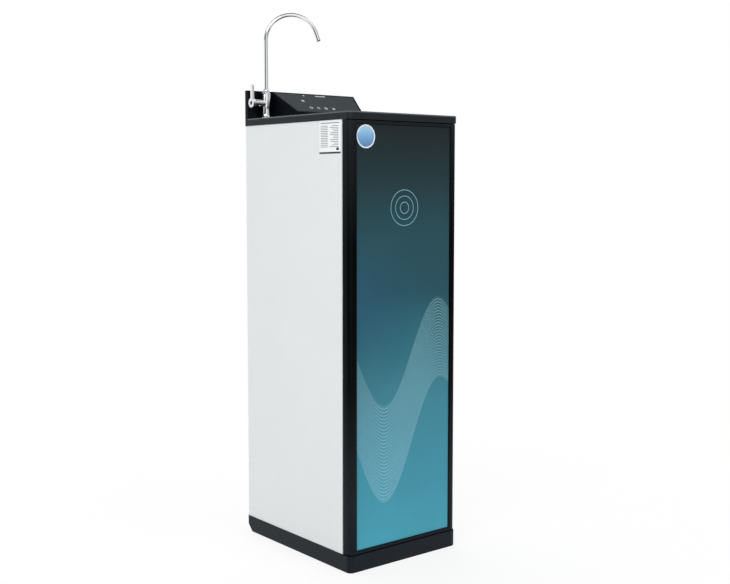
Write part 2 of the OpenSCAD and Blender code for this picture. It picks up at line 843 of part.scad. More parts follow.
module service_panel() {
    color("#c9cccb") difference() {
        block(-skin_x + panel_bend_r, skin_x - panel_bend_r, inner_y, panel_out_y, base_h, service_z);
        screw_holes();
        block(inlet_x - inlet_w / 2 - face_clear, inlet_x + inlet_w / 2 + face_clear,
            inner_y - tiny, panel_out_y + tiny,
            base_h + inlet_up - inlet_h / 2 - face_clear, base_h + inlet_up + inlet_h / 2 + face_clear);
    }
}

module panel_screws() {
    color("#b8bbbd") screw_places() union() {
        cylinder(r = screw_r, h = screw_l);
        translate([0, 0, -screw_head_t]) cylinder(r = screw_head_r, h = screw_head_t);
    }
}

module top_cap() {
    color("#161719") difference() {
        translate([0, 0, cap_z]) linear_extrude(cap_h) footprint();
        block(-half_w + wall_t, half_w - wall_t, sill_y, rear_y - wall_t, cap_z - tiny, cab_h - cap_skin);
        block(-half_w + drip_rim, half_w - drip_rim, front_y + drip_rim, con_y0 - drip_rim,
            cab_h - drip_depth, cab_h + tiny);
        post(hinge_x, hinge_y, cap_z - tiny, pin_r, pin_seat + tiny);
        post(tap_x, tap_y, cap_z, shank_r + shank_clear, cap_h + tiny);
        post(key_x + key_pitch, con_y1 - con_top_d / 2, cap_z, wire_r, cap_h + tiny);
    }
}

// Door

module door_frame() {
    color("#121315") difference() {
        translate([0, 0, door_z0]) linear_extrude(door_h)
            plan(-skin_x, skin_x, door_front_y, door_rear_y,
                corner_front_r, corner_front_r, door_rear_r, hinge_round);
        block(-glass_x - glass_clear, glass_x + glass_clear, door_front_y - tiny, glass_y + glass_t,
            glass_z0 - glass_clear, glass_z0 + glass_h + glass_clear);
        block(-window_x, window_x, door_front_y, door_rear_y + tiny, window_z0, window_z0 + window_h);
        block(-liner_x, liner_x, door_rear_y - liner_t, door_rear_y + tiny, liner_z0, liner_z0 + liner_h);
        post(hinge_x, hinge_y, door_z0 - tiny, bush_r, bush_l + tiny);
        post(hinge_x, hinge_y, door_z1 - bush_l, bush_r, bush_l + tiny);
    }
}

module door_glass() {
    color("#2c5058") block(-glass_x, glass_x, glass_y, glass_y + glass_t, glass_z0, glass_z0 + glass_h);
}

module door_liner() {
    color("#8f9496") block(-liner_x + glass_clear, liner_x - glass_clear, door_rear_y - liner_t, door_rear_y,
        liner_z0 + glass_clear, liner_z0 + liner_h - glass_clear);
}

module bush() {
    difference() {
        union() {
            cylinder(r = bush_r, h = bush_l);
            translate([0, 0, -flange_gap]) cylinder(r = bush_flange_r, h = flange_gap);
        }
        translate([0, 0, -flange_gap - tiny]) cylinder(r = pin_r + run_clear, h = bush_l + flange_gap + 2 * tiny);
    }
}

module door_bushes() {
    color("#161719") translate([hinge_x, hinge_y, door_z0]) bush();
    color("#161719") translate([hinge_x, hinge_y, door_z1]) rotate([180, 0, 0]) bush();
}

module hinge_pins() {
    color("#9a9da0") post(hinge_x, hinge_y, base_h - pin_seat, pin_r, pin_seat + door_gap + bush_l - tiny);
    color("#9a9da0") post(hinge_x, hinge_y, door_z1 - bush_l + tiny, pin_r, pin_seat + door_gap + bush_l - tiny);
}

module strike_plate() {
    color("#9a9da0") block(catch_x, catch_x + catch_w, door_rear_y, door_rear_y + strike_t,
        door_z1 - strike_h - tiny, door_z1 - tiny);
}

module magnet_catch() {
    color("#3a3c3e") block(catch_x, catch_x + catch_w, panel_front_y, sill_y, cap_z - catch_h, cap_z);
}

// Console

function fascia_outline(gap) = let (
    s0 = fascia_edge + gap,
    s1 = slope_l - fascia_edge - gap,
    in = fascia_edge + gap)
    [[con_left + con_taper * (1 - s0 / slope_l) + in, s0],
    [half_w - con_taper * (1 - s0 / slope_l) - in, s0],
    [half_w - con_taper * (1 - s1 / slope_l) - in, s1],
    [con_left + con_taper * (1 - s1 / slope_l) + in, s1]];

module console_plan(inset) {
    polygon([[con_left + inset, rear_y - inset], [con_left + inset, con_break_y],
        [con_left + con_taper + inset, con_y0 + inset], [half_w - con_taper - inset, con_y0 + inset],
        [half_w - inset, con_break_y], [half_w - inset, rear_y - inset]]);
}

module key_places() {
    for (i = [0 : 3]) translate([key_x + i * key_pitch, key_up, 0]) children();
}

module lens_places(grow) {
    translate([lens_long_x - lens_w / 2 - grow, lens_up - lens_h / 2 - grow])
        square([lens_w + 2 * grow, lens_h + 2 * grow]);
    translate([lens_small_x - lens_h / 2 - grow, lens_up - lens_h / 2 - grow]) square(lens_h + 2 * grow);
    translate([lens_low_x - lens_s / 2 - grow, lens_low_up - lens_s / 2 - grow]) square(lens_s + 2 * grow);
}

module post_places() {
    edge = post_r + post_edge;
    for (x = [board_x0 + edge, board_x0 + board_w - edge])
        for (s = [board_up + edge, board_up + board_l - edge])
            translate([x, s, -board_top]) children();
}

module console_housing() {
    color("#1b1c1e") union() {
        difference() {
            intersection() {
                translate([0, 0, cab_h]) linear_extrude(con_h) intersection() {
                    footprint();
                    union() {
                        console_plan(0);
                        translate([-half_w, con_wall_y]) square([cab_w, con_wall_t]);
                    }
                }
                on_slope() translate([-big / 2, -big / 2, -big]) cube([big, big, big]);
            }
            intersection() {
                translate([0, 0, cab_h - tiny]) linear_extrude(con_h - con_shell + tiny) intersection() {
                    console_plan(con_shell);
                    translate([-half_w, front_y]) square([cab_w, con_wall_y - front_y]);
                }
                on_slope() translate([-big / 2, -big / 2, -big - con_skin]) cube([big, big, big]);
            }
            on_slope() translate([0, 0, -fascia_t]) linear_extrude(fascia_t + tiny) polygon(fascia_outline(0));
            on_slope() key_places() translate([0, 0, -con_skin - tiny])
                cylinder(r = key_r + face_clear, h = con_skin + tiny);
        }
        on_slope() post_places() cylinder(r = post_r, h = board_top - con_shell);
    }
}

module console_fascia() {
    color("#0d0e10") on_slope() difference() {
        translate([0, 0, -fascia_t]) linear_extrude(fascia_t) polygon(fascia_outline(fascia_clear));
        translate([0, 0, -fascia_t - tiny]) linear_extrude(fascia_t + 2 * tiny) lens_places(fascia_clear);
        key_places() translate([0, 0, -fascia_t - tiny]) cylinder(r = key_r + key_clear, h = fascia_t + 2 * tiny);
    }
}

module indicator_lenses() {
    color("#dfe6ea") on_slope() translate([0, 0, -fascia_t]) linear_extrude(fascia_t + lens_proud) lens_places(0);
}

module control_board() {
    color("#1f5a35") on_slope() union() {
        translate([board_x0, board_up, -board_top - board_t]) cube([board_w, board_l, board_t]);
        key_places() translate([-switch_w / 2, -switch_w / 2, -board_top])
            cube([switch_w, switch_w, switch_h]);
    }
}

module key(i) {
    color("#26292c") on_slope() translate([key_x + i * key_pitch, key_up, 0]) union() {
        translate([0, 0, -key_flange_top]) cylinder(r = key_r, h = key_flange_top + key_proud);
        translate([0, 0, -key_flange_top - key_flange_t]) cylinder(r = key_r + key_flange, h = key_flange_t);
        translate([0, 0, -key_stem_end]) cylinder(r = key_stem_r, h = key_stem + tiny);
    }
}

module key_1() { key(0); }
module key_2() { key(1); }
module key_3() { key(2); }
module key_4() { key(3); }

// Tap

module tap_gasket() {
    color("#222222") ring(tap_x, tap_y, cab_h, flange_r - gasket_in, shank_r + shank_clear, gasket_t);
}

module tap_body() {
    color("#d4d7da") difference() {
        union() {
            translate([tap_x, tap_y, tap_z]) rotate_extrude()
                polygon([[0, -shank_l - gasket_t], [shank_r, -shank_l - gasket_t], [shank_r, 0], [flange_r, 0],
                    [flange_r, flange_t],
                    for (a = [0 : skirt_step : 90])
                        [waist_r + skirt_out * (1 - sin(a)), skirt_low + (skirt_h - skirt_low) * (1 - cos(a))],
                    [waist_r, waist_up], [body_r, waist_up + body_r - waist_r],
                    [body_r, body_h - body_edge], [body_r - body_edge, body_h], [0, body_h]]);
            rod_x(tap_x - barrel_end, tap_y, barrel_z, barrel_r, barrel_end);
        }
        rod_x(tap_x - barrel_end - tiny, tap_y, barrel_z, valve_r, valve_l + tiny);
        post(tap_x, tap_y, spout_z0 - face_clear, spout_r + run_clear, spout_seat + face_clear + tiny);
        post(tap_x, tap_y, seal_z, spout_r + run_clear + seal_t, seal_h);
        post(tap_x, tap_y, tap_z - shank_l - gasket_t - tiny, passage_r, shank_l + body_h - spout_seat + 2 * tiny);
    }
}

module tap_nut() {
    color("#c8a860") translate([tap_x, tap_y, cab_h - cap_skin - nut_t]) difference() {
        cylinder(r = nut_r, h = nut_t, $fn = 6);
        translate([0, 0, -tiny]) cylinder(r = shank_r, h = nut_t + 2 * tiny);
    }
}

module valve_cartridge() {
    color("#c8a860") difference() {
        rod_x(tap_x - barrel_end, tap_y, barrel_z, valve_r, valve_l);
        rod_x(tap_x - barrel_end - tiny, tap_y, barrel_z, spindle_r + run_clear,
            valve_l - valve_floor + tiny);
    }
}

module spout_seal() {
    color("#222222") ring(tap_x, tap_y, seal_z, spout_r + run_clear + seal_t, spout_r + run_clear, seal_h);
}

module spout_collar() {
    color("#d4d7da") translate([tap_x, tap_y, body_top]) rotate_extrude()
        polygon([[spout_r + run_clear, 0], [collar_r, 0], [collar_r, collar_land],
            [spout_r + collar_lip, collar_h], [spout_r + run_clear, collar_h]]);
}

module spout_way(r, beyond) {
    translate([tap_x, tap_y, 0]) rotate(-spout_turn) union() {
        post(0, 0, spout_z0 - beyond, r, bend_z - spout_z0 + beyond + tiny);
        translate([bend_r, 0, bend_z]) rotate([90, 0, 0]) rotate([0, 0, 180 - bend_a]) rotate_extrude(angle = bend_a)
            translate([bend_r, 0]) circle(r - bend_step);
        translate([bend_r, 0, bend_z]) rotate([0, bend_a, 0]) translate([-bend_r, 0, -tiny])
            cylinder(r = r, h = spout_end + beyond + tiny);
    }
}

module spout_tube() {
    color("#d4d7da") difference() {
        spout_way(spout_r, 0);
        spout_way(spout_bore, tiny);
    }
}

module spout_nozzle() {
    color("#18191b") translate([tap_x, tap_y, 0]) rotate(-spout_turn) translate([bend_r, 0, bend_z])
        rotate([0, bend_a, 0]) translate([-bend_r, 0, spout_end]) rotate_extrude()
            polygon([[nozzle_r, -nozzle_in], [spout_bore, -nozzle_in], [spout_bore, 0], [spout_r - nozzle_step, 0],
                [spout_r - 2 * nozzle_step, nozzle_out], [nozzle_r, nozzle_out]]);
}

module lever_handle() {
    color("#d4d7da") difference() {
        union() {
            rod_x(hub_x - hub_t / 2, tap_y, barrel_z, hub_r, hub_t);
            translate([hub_x - lever_t / 2, tap_y, barrel_z]) rotate([90, 0, 90]) linear_extrude(lever_t) union() {
                translate([-lever_w / 2, 0]) square([lever_w, lever_l - lever_w / 2]);
                translate([0, lever_l - lever_w / 2]) circle(lever_w / 2);
            }
        }
        rod_x(hub_x - hub_t / 2 - tiny, tap_y, barrel_z, lscrew_r + face_clear, lscrew_depth + tiny);
        rod_x(hub_x - hub_t / 2 - tiny, tap_y, barrel_z, lscrew_hole_r, hub_t + 2 * tiny);
    }
}

module lever_spindle() {
    color("#c8a860") difference() {
        rod_x(hub_x + hub_t / 2, tap_y, barrel_z, spindle_r, hub_out - hub_t / 2 - spindle_in);
        rod_x(hub_x, tap_y, barrel_z, lscrew_hole_r, lscrew_end + end_gap);
    }
}

module lever_screw() {
    color("#1c1d1f") union() {
        rod_x(hub_x - hub_t / 2 + lscrew_sunk, tap_y, barrel_z, lscrew_r, lscrew_depth - lscrew_sunk);
        rod_x(hub_x + lscrew_end - lscrew_l, tap_y, barrel_z, lscrew_hole_r - run_clear, lscrew_l);
    }
}

// Filters, pump and tank

module mid_shelf() {
    color("#b9bcbe") difference() {
        union() {
            block(-inner_x, inner_x, panel_front_y + shelf_back, inner_y, shelf_z - sheet_t, shelf_z);
            block(-inner_x, inner_x, panel_front_y + shelf_back, panel_front_y + shelf_back + sheet_t,
                shelf_z - shelf_fold, shelf_z);
        }
        post(grommet_at[0], grommet_at[1], shelf_z - sheet_t - tiny, grommet_r, sheet_t + 2 * tiny);
    }
}

module shelf_grommet() {
    color("#222222") translate([grommet_at[0], grommet_at[1], shelf_z]) difference() {
        union() {
            cylinder(r = grommet_r + grommet_lip, h = grommet_t);
            translate([0, 0, -sheet_t]) cylinder(r = grommet_r, h = sheet_t);
        }
        translate([0, 0, -sheet_t - tiny]) cylinder(r = tube_r + grommet_gap, h = sheet_t + grommet_t + 2 * tiny);
    }
}

module filter_bracket() {
    color("#b9bcbe") union() {
        block(-inner_x + bracket_side, inner_x - bracket_side, bracket_y, bracket_rear, shelf_z, bracket_top);
        block(-inner_x + bracket_side, inner_x - bracket_side, bracket_y, bracket_y + bracket_foot,
            shelf_z, shelf_z + sheet_t);
    }
}

module filter_head(x) {
    difference() {
        union() {
            post(x, cart_y, head_z, head_r, head_h);
            block(x - head_block / 2, x + head_block / 2, cart_y, bracket_y, head_z, head_top);
            post(x, cart_y, head_top - tiny, stub_r, stub_l + tiny);
        }
        post(x, cart_y, head_z - tiny, neck_r + neck_clear, neck_h + neck_room + tiny);
    }
}

module filter_heads() {
    color("#e6e7e5") for (i = [-1 : 1]) filter_head(i * cart_pitch);
}

module cartridge(i) {
    color("#f0f0ee") translate([i * cart_pitch, cart_y, cart_z]) union() {
        rotate_extrude() union() {
            square([cart_r - cart_round, cart_h]);
            translate([0, cart_round]) square([cart_r, cart_h - cart_round]);
            translate([cart_r - cart_round, cart_round]) circle(cart_round);
        }
        translate([0, 0, cart_h - tiny]) cylinder(r = neck_r, h = neck_h + tiny);
        for (k = [0 : ribs - 1]) rotate(360 * k / ribs)
            translate([cart_r - rib_out, -rib_w / 2, cart_round]) cube([2 * rib_out, rib_w, rib_h]);
    }
}

module cartridge_1() { cartridge(-1); }
module cartridge_2() { cartridge(0); }
module cartridge_3() { cartridge(1); }

module membrane_housing() {
    color("#f0f0ee") union() {
        post(mem_x, mem_y, rear_z, mem_r, mem_h);
        post(mem_x, mem_y, rear_z - stub_l, stub_r, stub_l + tiny);
    }
}

module membrane_cap() {
    color("#3d6fa5") union() {
        post(mem_x, mem_y, rear_z + mem_h, mem_cap_r, mem_cap_h);
        post(mem_x, mem_y, mem_top - tiny, stub_r, stub_l + tiny);
    }
}

module post_filters() {
    color("#f0f0ee") for (i = [-1 : 1]) union() {
        post(post_mid + i * post_pitch, post_y, rear_z, post_filter_r, post_filter_h);
        post(post_mid + i * post_pitch, post_y, rear_z - stub_l, stub_r, post_filter_h + 2 * stub_l);
    }
}

module clip(x, y, z, r) {
    difference() {
        union() {
            post(x, y, z, r + clip_clear + clip_t, clip_h);
            block(x - clip_w / 2, x + clip_w / 2, bracket_rear, y, z, z + clip_h);
        }
        post(x, y, z - tiny, r + clip_clear, clip_h + 2 * tiny);
        block(x - 2 * r, x + 2 * r, y + r / 2, y + 2 * r, z - tiny, z + clip_h + tiny);
    }
}

module filter_clips() {
    color("#d9dad7") for (z = [rear_z + clip_end, post_top - clip_end]) {
        clip(mem_x, mem_y, z, mem_r);
        for (i = [-1 : 1]) clip(post_mid + i * post_pitch, post_y, z, post_filter_r);
    }
}

module pump_motor() {
    color("#3b3e42") union() {
        rod_x(pump_x1, pump_y, pump_z, motor_r, motor_l);
        block(pump_x1, motor_x1, pump_y - plate_w / 2, pump_y + plate_w / 2,
            shelf_z + foot_h, shelf_z + foot_h + plate_t);
        block(pump_x1, motor_x1, pump_y - motor_r / 2, pump_y + motor_r / 2,
            shelf_z + foot_h + plate_t - tiny, pump_z - motor_r / 2);
        rod_x(motor_x1 - tiny, pump_y, pump_z, boss_r, boss_l + tiny);
    }
}

module pump_head() {
    color("#24262a") union() {
        rod_x(pump_x1 - pump_l, pump_y, pump_z, pump_r, pump_l);
        rod_y(mem_x, pump_port_y, pump_z, stub_r, stub_l + stub_r);
    }
}

module pump_feet() {
    edge = foot_r + foot_edge;
    color("#222222") for (x = [pump_x1 + edge, motor_x1 - edge])
        for (y = [pump_y - plate_w / 2 + edge, pump_y + plate_w / 2 - edge])
            post(x, y, shelf_z, foot_r, foot_h);
}

module solenoid_valve() {
    color("#e6e7e5") union() {
        block(sol_x - sol_w / 2, sol_x + sol_w / 2, sol_y0, sol_y1, shelf_z, shelf_z + sol_h);
        rod_y(sol_x, sol_y1 - tiny, sol_port_z, stub_r, stub_l + tiny);
        post(sol_x, sol_out_y, shelf_z + sol_h - tiny, stub_r, stub_l + tiny);
    }
}

module solenoid_coil() {
    color("#26282c") post(sol_x, coil_y, shelf_z + sol_h, coil_r, coil_h);
}

module power_supply() {
    color("#2e3136") block(-psu_w / 2, psu_w / 2, inner_y - psu_d, inner_y,
        shelf_z + psu_up, shelf_z + psu_up + psu_h);
}

module power_inlet() {
    color("#18191b") translate([inlet_x, panel_out_y, base_h + inlet_up]) difference() {
        union() {
            block(-inlet_w / 2, inlet_w / 2, -inlet_d, tiny, -inlet_h / 2, inlet_h / 2);
            block(-inlet_w / 2 - inlet_lip, inlet_w / 2 + inlet_lip, 0, panel_t,
                -inlet_h / 2 - inlet_lip, inlet_h / 2 + inlet_lip);
        }
        difference() {
            block(-inlet_w / 2 + inlet_wall, inlet_w / 2 - inlet_wall, -inlet_d + inlet_floor, 2 * tiny,
                -inlet_h / 2 + inlet_wall, inlet_h / 2 - inlet_wall);
            for (x = [-blade_pitch / 2, blade_pitch / 2])
                block(x - blade_t / 2, x + blade_t / 2, -inlet_d, -blade_deep, -blade_w / 2, blade_w / 2);
        }
    }
}

module tank_section(r, h, round) {
    square([r - round, h]);
    translate([0, round]) square([r, h - 2 * round]);
    for (z = [round, h - round]) translate([r - round, z]) intersection() {
        circle(round);
        translate([0, z > h / 2 ? 0 : -round]) square(round);
    }
}

module pressure_tank() {
    color("#d9dcdb") translate([0, tank_back, tank_z]) difference() {
        union() {
            rotate_extrude() tank_section(tank_r, tank_h, tank_round);
            translate([0, 0, tank_h - tiny]) cylinder(r = tank_neck_r, h = tank_neck_h + tiny);
        }
        translate([0, 0, tank_wall]) rotate_extrude()
            tank_section(tank_r - tank_wall, tank_h - 2 * tank_wall, tank_round - tank_wall);
        translate([0, 0, tank_h / 2]) cylinder(r = tank_neck_r / 2, h = tank_h);
    }
}

module tank_stand() {
    color("#2c2e31") ring(0, tank_back, floor_t, tank_flat, tank_flat - stand_t, stand_h);
}

module tank_valve() {
    color("#e6e7e5") difference() {
        union() {
            post(0, tank_back, tvalve_z, tvalve_r, tvalve_h);
            post(0, tank_back, tvalve_top - tiny, stub_r, stub_l + tiny);
            rod_y(0, tlever_y, tlever_z, tlever_hub_r, tvalve_boss + tvalve_r);
        }
        rod_y(0, tlever_y - tiny, tlever_z, spindle_r + run_clear, tvalve_boss + tvalve_deep + tiny);
    }
}

module tank_valve_lever() {
    color("#2f6fb0") translate([0, tlever_y - face_clear, tlever_z]) union() {
        rod_y(0, -tlever_t, 0, tlever_hub_r, tlever_t);
        rod_y(0, -tiny, 0, spindle_r, tvalve_boss + tvalve_deep + face_clear - end_gap + tiny);
        rotate([90, 0, 0]) linear_extrude(tlever_t) union() {
            translate([-tlever_w / 2, 0]) square([tlever_w, tlever_l - tlever_w / 2]);
            translate([0, tlever_l - tlever_w / 2]) circle(tlever_w / 2);
        }
    }
}

module fitting(x, z) {
    difference() {
        union() {
            rod_y(x, inner_y - fit_in, z, fit_r, fit_in + panel_t + fit_out);
            rod_y(x, panel_out_y, z, fit_flange_r, fit_flange_t);
        }
        rod_y(x, panel_out_y + fit_out - fit_bore, z, tube_r + fit_clear, fit_bore + tiny);
    }
}

module inlet_fitting() {
    color("#e6e7e5") fitting(sol_x, sol_port_z);
}

module drain_fitting() {
    color("#e6e7e5") fitting(mem_x, drain_z);
}

module water_tubes() {
    color("#f4f6f7") tube(tank_route, [0, 1, 0]);
    color("#f4f6f7") tube(tap_route, [1, 1, 0]);
    color("#f4f6f7") tube(drain_route, [1, 0, 0]);
    color("#f4f6f7") tube(pump_route, [1, 0, 0]);
    color("#f4f6f7") tube(feed_route, [1, 0, 0]);
    color("#f4f6f7") tube(inlet_route, [1, 0, 0]);
}

base_tray();
base_pads();
left_panel();
right_panel();
rear_panel();
service_panel();
panel_screws();
top_cap();
door_frame();
door_glass();
door_liner();
door_bushes();
hinge_pins();
strike_plate();
magnet_catch();
console_housing();
console_fascia();
indicator_lenses();
control_board();
key_1();
key_2();
key_3();
key_4();
tap_gasket();
tap_body();
tap_nut();
valve_cartridge();
spout_seal();
spout_collar();
spout_tube();
spout_nozzle();
lever_handle();
lever_spindle();
lever_screw();
mid_shelf();
shelf_grommet();
filter_bracket();
filter_heads();
cartridge_1();
cartridge_2();
cartridge_3();
membrane_housing();
membrane_cap();
post_filters();
filter_clips();
pump_motor();
pump_head();
pump_feet();
solenoid_valve();
solenoid_coil();
power_supply();
power_inlet();
pressure_tank();
tank_stand();
tank_valve();
tank_valve_lever();
inlet_fitting();
drain_fitting();
water_tubes();
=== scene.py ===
"""Water purifier: finishes, printed glass, badge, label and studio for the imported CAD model."""

import json
import math

import bmesh
import bpy
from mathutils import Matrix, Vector


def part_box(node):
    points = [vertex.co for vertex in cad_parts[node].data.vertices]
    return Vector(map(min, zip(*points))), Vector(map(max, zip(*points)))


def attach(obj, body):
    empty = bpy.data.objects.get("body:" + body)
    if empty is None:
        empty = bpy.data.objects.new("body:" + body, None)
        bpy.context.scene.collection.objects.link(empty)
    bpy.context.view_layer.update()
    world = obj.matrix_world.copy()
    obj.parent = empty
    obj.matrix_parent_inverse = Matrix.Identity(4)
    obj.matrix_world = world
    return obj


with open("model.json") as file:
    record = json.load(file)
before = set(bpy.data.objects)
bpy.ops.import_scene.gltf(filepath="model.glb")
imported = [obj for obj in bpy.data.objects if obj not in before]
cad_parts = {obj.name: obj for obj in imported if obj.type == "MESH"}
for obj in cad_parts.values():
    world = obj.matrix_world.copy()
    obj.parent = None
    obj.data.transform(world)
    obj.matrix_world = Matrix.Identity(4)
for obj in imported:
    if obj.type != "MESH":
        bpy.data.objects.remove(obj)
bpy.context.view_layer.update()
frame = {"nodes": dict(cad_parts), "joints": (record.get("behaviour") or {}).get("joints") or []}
nodes = frame["nodes"]
joints = {joint["name"]: joint for joint in frame["joints"]}
scene = bpy.context.scene
scene.view_settings.view_transform = "Standard"

# Camera at the photograph's viewing angle, from a fit of its edges. Lengths are in metres, here and below,
# but the sensor's width is in millimetres and the image's in pixels.

IMAGE_WIDTH = 730
FOCAL_PIXELS = 1108.6
SENSOR_WIDTH = 36
YAW = math.radians(-39.0)
PITCH = math.radians(4.45)
DISTANCE = 2.5169
SIDEWAYS = 0.03674
CAMERA_HEIGHT = 0.81685
PICTURE_SHIFT = -0.03
SIGHT_END = 50

ahead = Vector((-math.sin(YAW), math.cos(YAW), 0))
beside = Vector((math.cos(YAW), math.sin(YAW), 0))
camera_data = bpy.data.cameras.new("camera")
camera_data.sensor_width = SENSOR_WIDTH
camera_data.lens = FOCAL_PIXELS / IMAGE_WIDTH * SENSOR_WIDTH
camera_data.shift_y = PICTURE_SHIFT
camera_data.clip_end = SIGHT_END
camera = bpy.data.objects.new("camera", camera_data)
scene.collection.objects.link(camera)
camera.location = -ahead * DISTANCE + beside * SIDEWAYS + Vector((0, 0, CAMERA_HEIGHT))
sight = ahead * math.cos(PITCH) - Vector((0, 0, math.sin(PITCH)))
camera.rotation_euler = sight.to_track_quat("-Z", "Y").to_euler()
scene.camera = camera


# Materials. Noise scales are counts per metre, and grain depths are the height of a full bump.

TONE_SCALE = 9
GLOSS_SCALE = 34
GRAIN_DEPTH = 0.0002
FILM_DEPTH = 0.0001

# Places of the colour sockets on a Mix node
MIX_FIRST, MIX_SECOND, MIX_RESULT = 6, 7, 2


def srgb(red, green, blue):
    """Linear colour of an 8-bit screen colour."""
    def one(value):
        value /= 255
        return value / 12.92 if value <= 0.04045 else ((value + 0.055) / 1.055) ** 2.4
    return one(red), one(green), one(blue), 1


def darker(colour, by):
    """A colour times a factor."""
    return tuple(part * by for part in colour[:3]) + (1,)


class Finish:
    """One node material and helpers that add nodes to it. Its place is the object's coordinates."""

    def __init__(self, name):
        self.material = bpy.data.materials.new(name)
        self.material.use_nodes = True
        self.tree = self.material.node_tree
        self.shader = self.tree.nodes["Principled BSDF"]
        self.place = self.add("ShaderNodeTexCoord").outputs["Object"]

    def add(self, kind, settings=None, **inputs):
        """Adds a node. An underscore in an input's name stands for a space."""
        node = self.tree.nodes.new(kind)
        for key, value in (settings or {}).items():
            setattr(node, key, value)
        for key, value in inputs.items():
            self.feed(node.inputs[key.replace("_", " ")], value)
        return node

    def feed(self, socket, value):
        """Links an input to another socket, or sets it to a value."""
        if isinstance(value, bpy.types.NodeSocket):
            self.tree.links.new(value, socket)
        else:
            socket.default_value = value

    def set(self, **inputs):
        """Feeds inputs of the shader."""
        for key, value in inputs.items():
            self.feed(self.shader.inputs[key.replace("_", " ")], value)

    def math(self, operation, first, second=0.0):
        """Result of an operation on two numbers."""
        node = self.add("ShaderNodeMath", {"operation": operation})
        self.feed(node.inputs[0], first)
        self.feed(node.inputs[1], second)
        return node.outputs[0]

    def noise(self, scale, detail=3.0):
        """Soft noise, mostly between 0.3 and 0.7."""
        return self.add("ShaderNodeTexNoise", Vector=self.place, Scale=scale, Detail=detail).outputs["Fac"]

    def spread(self, value, low, high, start=0.3, end=0.7):
        """Maps the range from start to end onto the range from low to high."""
        node = self.add("ShaderNodeMapRange", Value=value, From_Min=start, From_Max=end,
                        To_Min=low, To_Max=high)
        return node.outputs["Result"]

    def mix(self, factor, first, second):
        """Mix of two colours."""
        node = self.add("ShaderNodeMix", {"data_type": "RGBA"})
        self.feed(node.inputs["Factor"], factor)
        self.feed(node.inputs[MIX_FIRST], first)
        self.feed(node.inputs[MIX_SECOND], second)
        return node.outputs[MIX_RESULT]

    def ramp(self, factor, stops):
        """Colour between stops, which are (position, colour) pairs."""
        node = self.add("ShaderNodeValToRGB", Fac=factor)
        points = node.color_ramp.elements
        while len(points) < len(stops):
            points.new(0.5)
        for point, (position, colour) in zip(points, stops):
            point.position = position
            point.color = colour
        return node.outputs["Color"]

    def axis(self, name):
        """One of the object's coordinates."""
        return self.add("ShaderNodeSeparateXYZ", Vector=self.place).outputs[name]

    def bump(self, height, strength, distance):
        """Uneven normals from a height."""
        node = self.add("ShaderNodeBump", Height=height, Strength=strength, Distance=distance)
        self.set(Normal=node.outputs["Normal"])


def surface(name, colour, rough, grain, depth, variation=0.9, specular=0.5, patches=0.1):
    """Moulded, painted or printed surface: uneven tone, uneven gloss and a fine grain."""
    made = Finish(name)
    tone = made.spread(made.noise(TONE_SCALE, 4), 0, 1)
    made.set(Base_Color=made.mix(tone, darker(colour, variation), colour))
    made.set(Roughness=made.spread(made.noise(GLOSS_SCALE, 5), rough * (1 - patches), rough * (1 + patches)))
    made.shader.inputs["Specular IOR Level"].default_value = specular
    made.bump(made.noise(grain, 2), depth, GRAIN_DEPTH)
    return made


# Painted reflection on the door frame: colour by height, grey at the foot and the head, near black between
FRAME_REFLECTION_STOPS = [
    (0.00, srgb(24, 29, 34)),
    (0.12, srgb(28, 33, 37)),
    (0.38, srgb(4, 5, 5)),
    (0.72, srgb(3, 4, 4)),
    (0.95, srgb(21, 24, 27)),
    (1.00, srgb(27, 31, 33)),
]
FRAME_REFLECTION_SHARE = 0.95


def painted_reflection_at_ends(made):
    """Paints a reflection into the door frame's plastic: greyer towards its foot and its head, near black
    between.
    """
    low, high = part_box("door_frame")
    plain = made.shader.inputs["Base Color"].links[0].from_socket
    tone = made.ramp(made.spread(made.axis("Z"), 0, 1, low.z, high.z), FRAME_REFLECTION_STOPS)
    made.set(Base_Color=made.mix(FRAME_REFLECTION_SHARE, plain, tone))
    return made


def spangled(name, colour):
    """Zinc-plated sheet with faint crystal patches."""
    made = Finish(name)
    cells = made.add("ShaderNodeTexVoronoi", Vector=made.place, Scale=95.0).outputs["Distance"]
    made.set(Base_Color=made.mix(made.spread(cells, 0, 1, 0.1, 0.8), darker(colour, 0.8), colour))
    made.set(Roughness=made.spread(made.noise(120), 0.32, 0.48))
    made.shader.inputs["Metallic"].default_value = 0.85
    made.bump(made.noise(900), 0.08, GRAIN_DEPTH)
    return made


def polished(name, colour, rough):
    """Bright metal with slight unevenness in its gloss."""
    made = Finish(name)
    made.set(Base_Color=made.mix(made.spread(made.noise(60), 0, 1), darker(colour, 0.93), colour))
    made.set(Roughness=made.spread(made.noise(220, 4), rough * 0.7, rough * 1.5))
    made.shader.inputs["Metallic"].default_value = 1
    made.bump(made.noise(1500), 0.01, FILM_DEPTH)
    return made


GLASS_STOPS = [
    (0.00, srgb(66, 158, 178)),
    (0.12, srgb(60, 144, 165)),
    (0.30, srgb(53, 127, 145)),
    (0.46, srgb(47, 109, 122)),
    (0.60, srgb(38, 80, 92)),
    (0.74, srgb(39, 75, 83)),
    (0.88, srgb(33, 53, 57)),
    (1.00, srgb(28, 35, 37)),
]
BLUE_PLACE = 0.56
BLUE_SHARE = 0.55
FOOT_LIFT, LIFT_LOSS = 0.62, 0.5


def lifted(stops, lift):
    """Lighter colour stops, with more of the lift at the foot than at the head."""
    lighter = []
    for position, colour in stops:
        added = lift * (FOOT_LIFT - LIFT_LOSS * position)
        lighter.append((position, tuple(min(1, part + added) for part in colour[:3]) + (1,)))
    return lighter


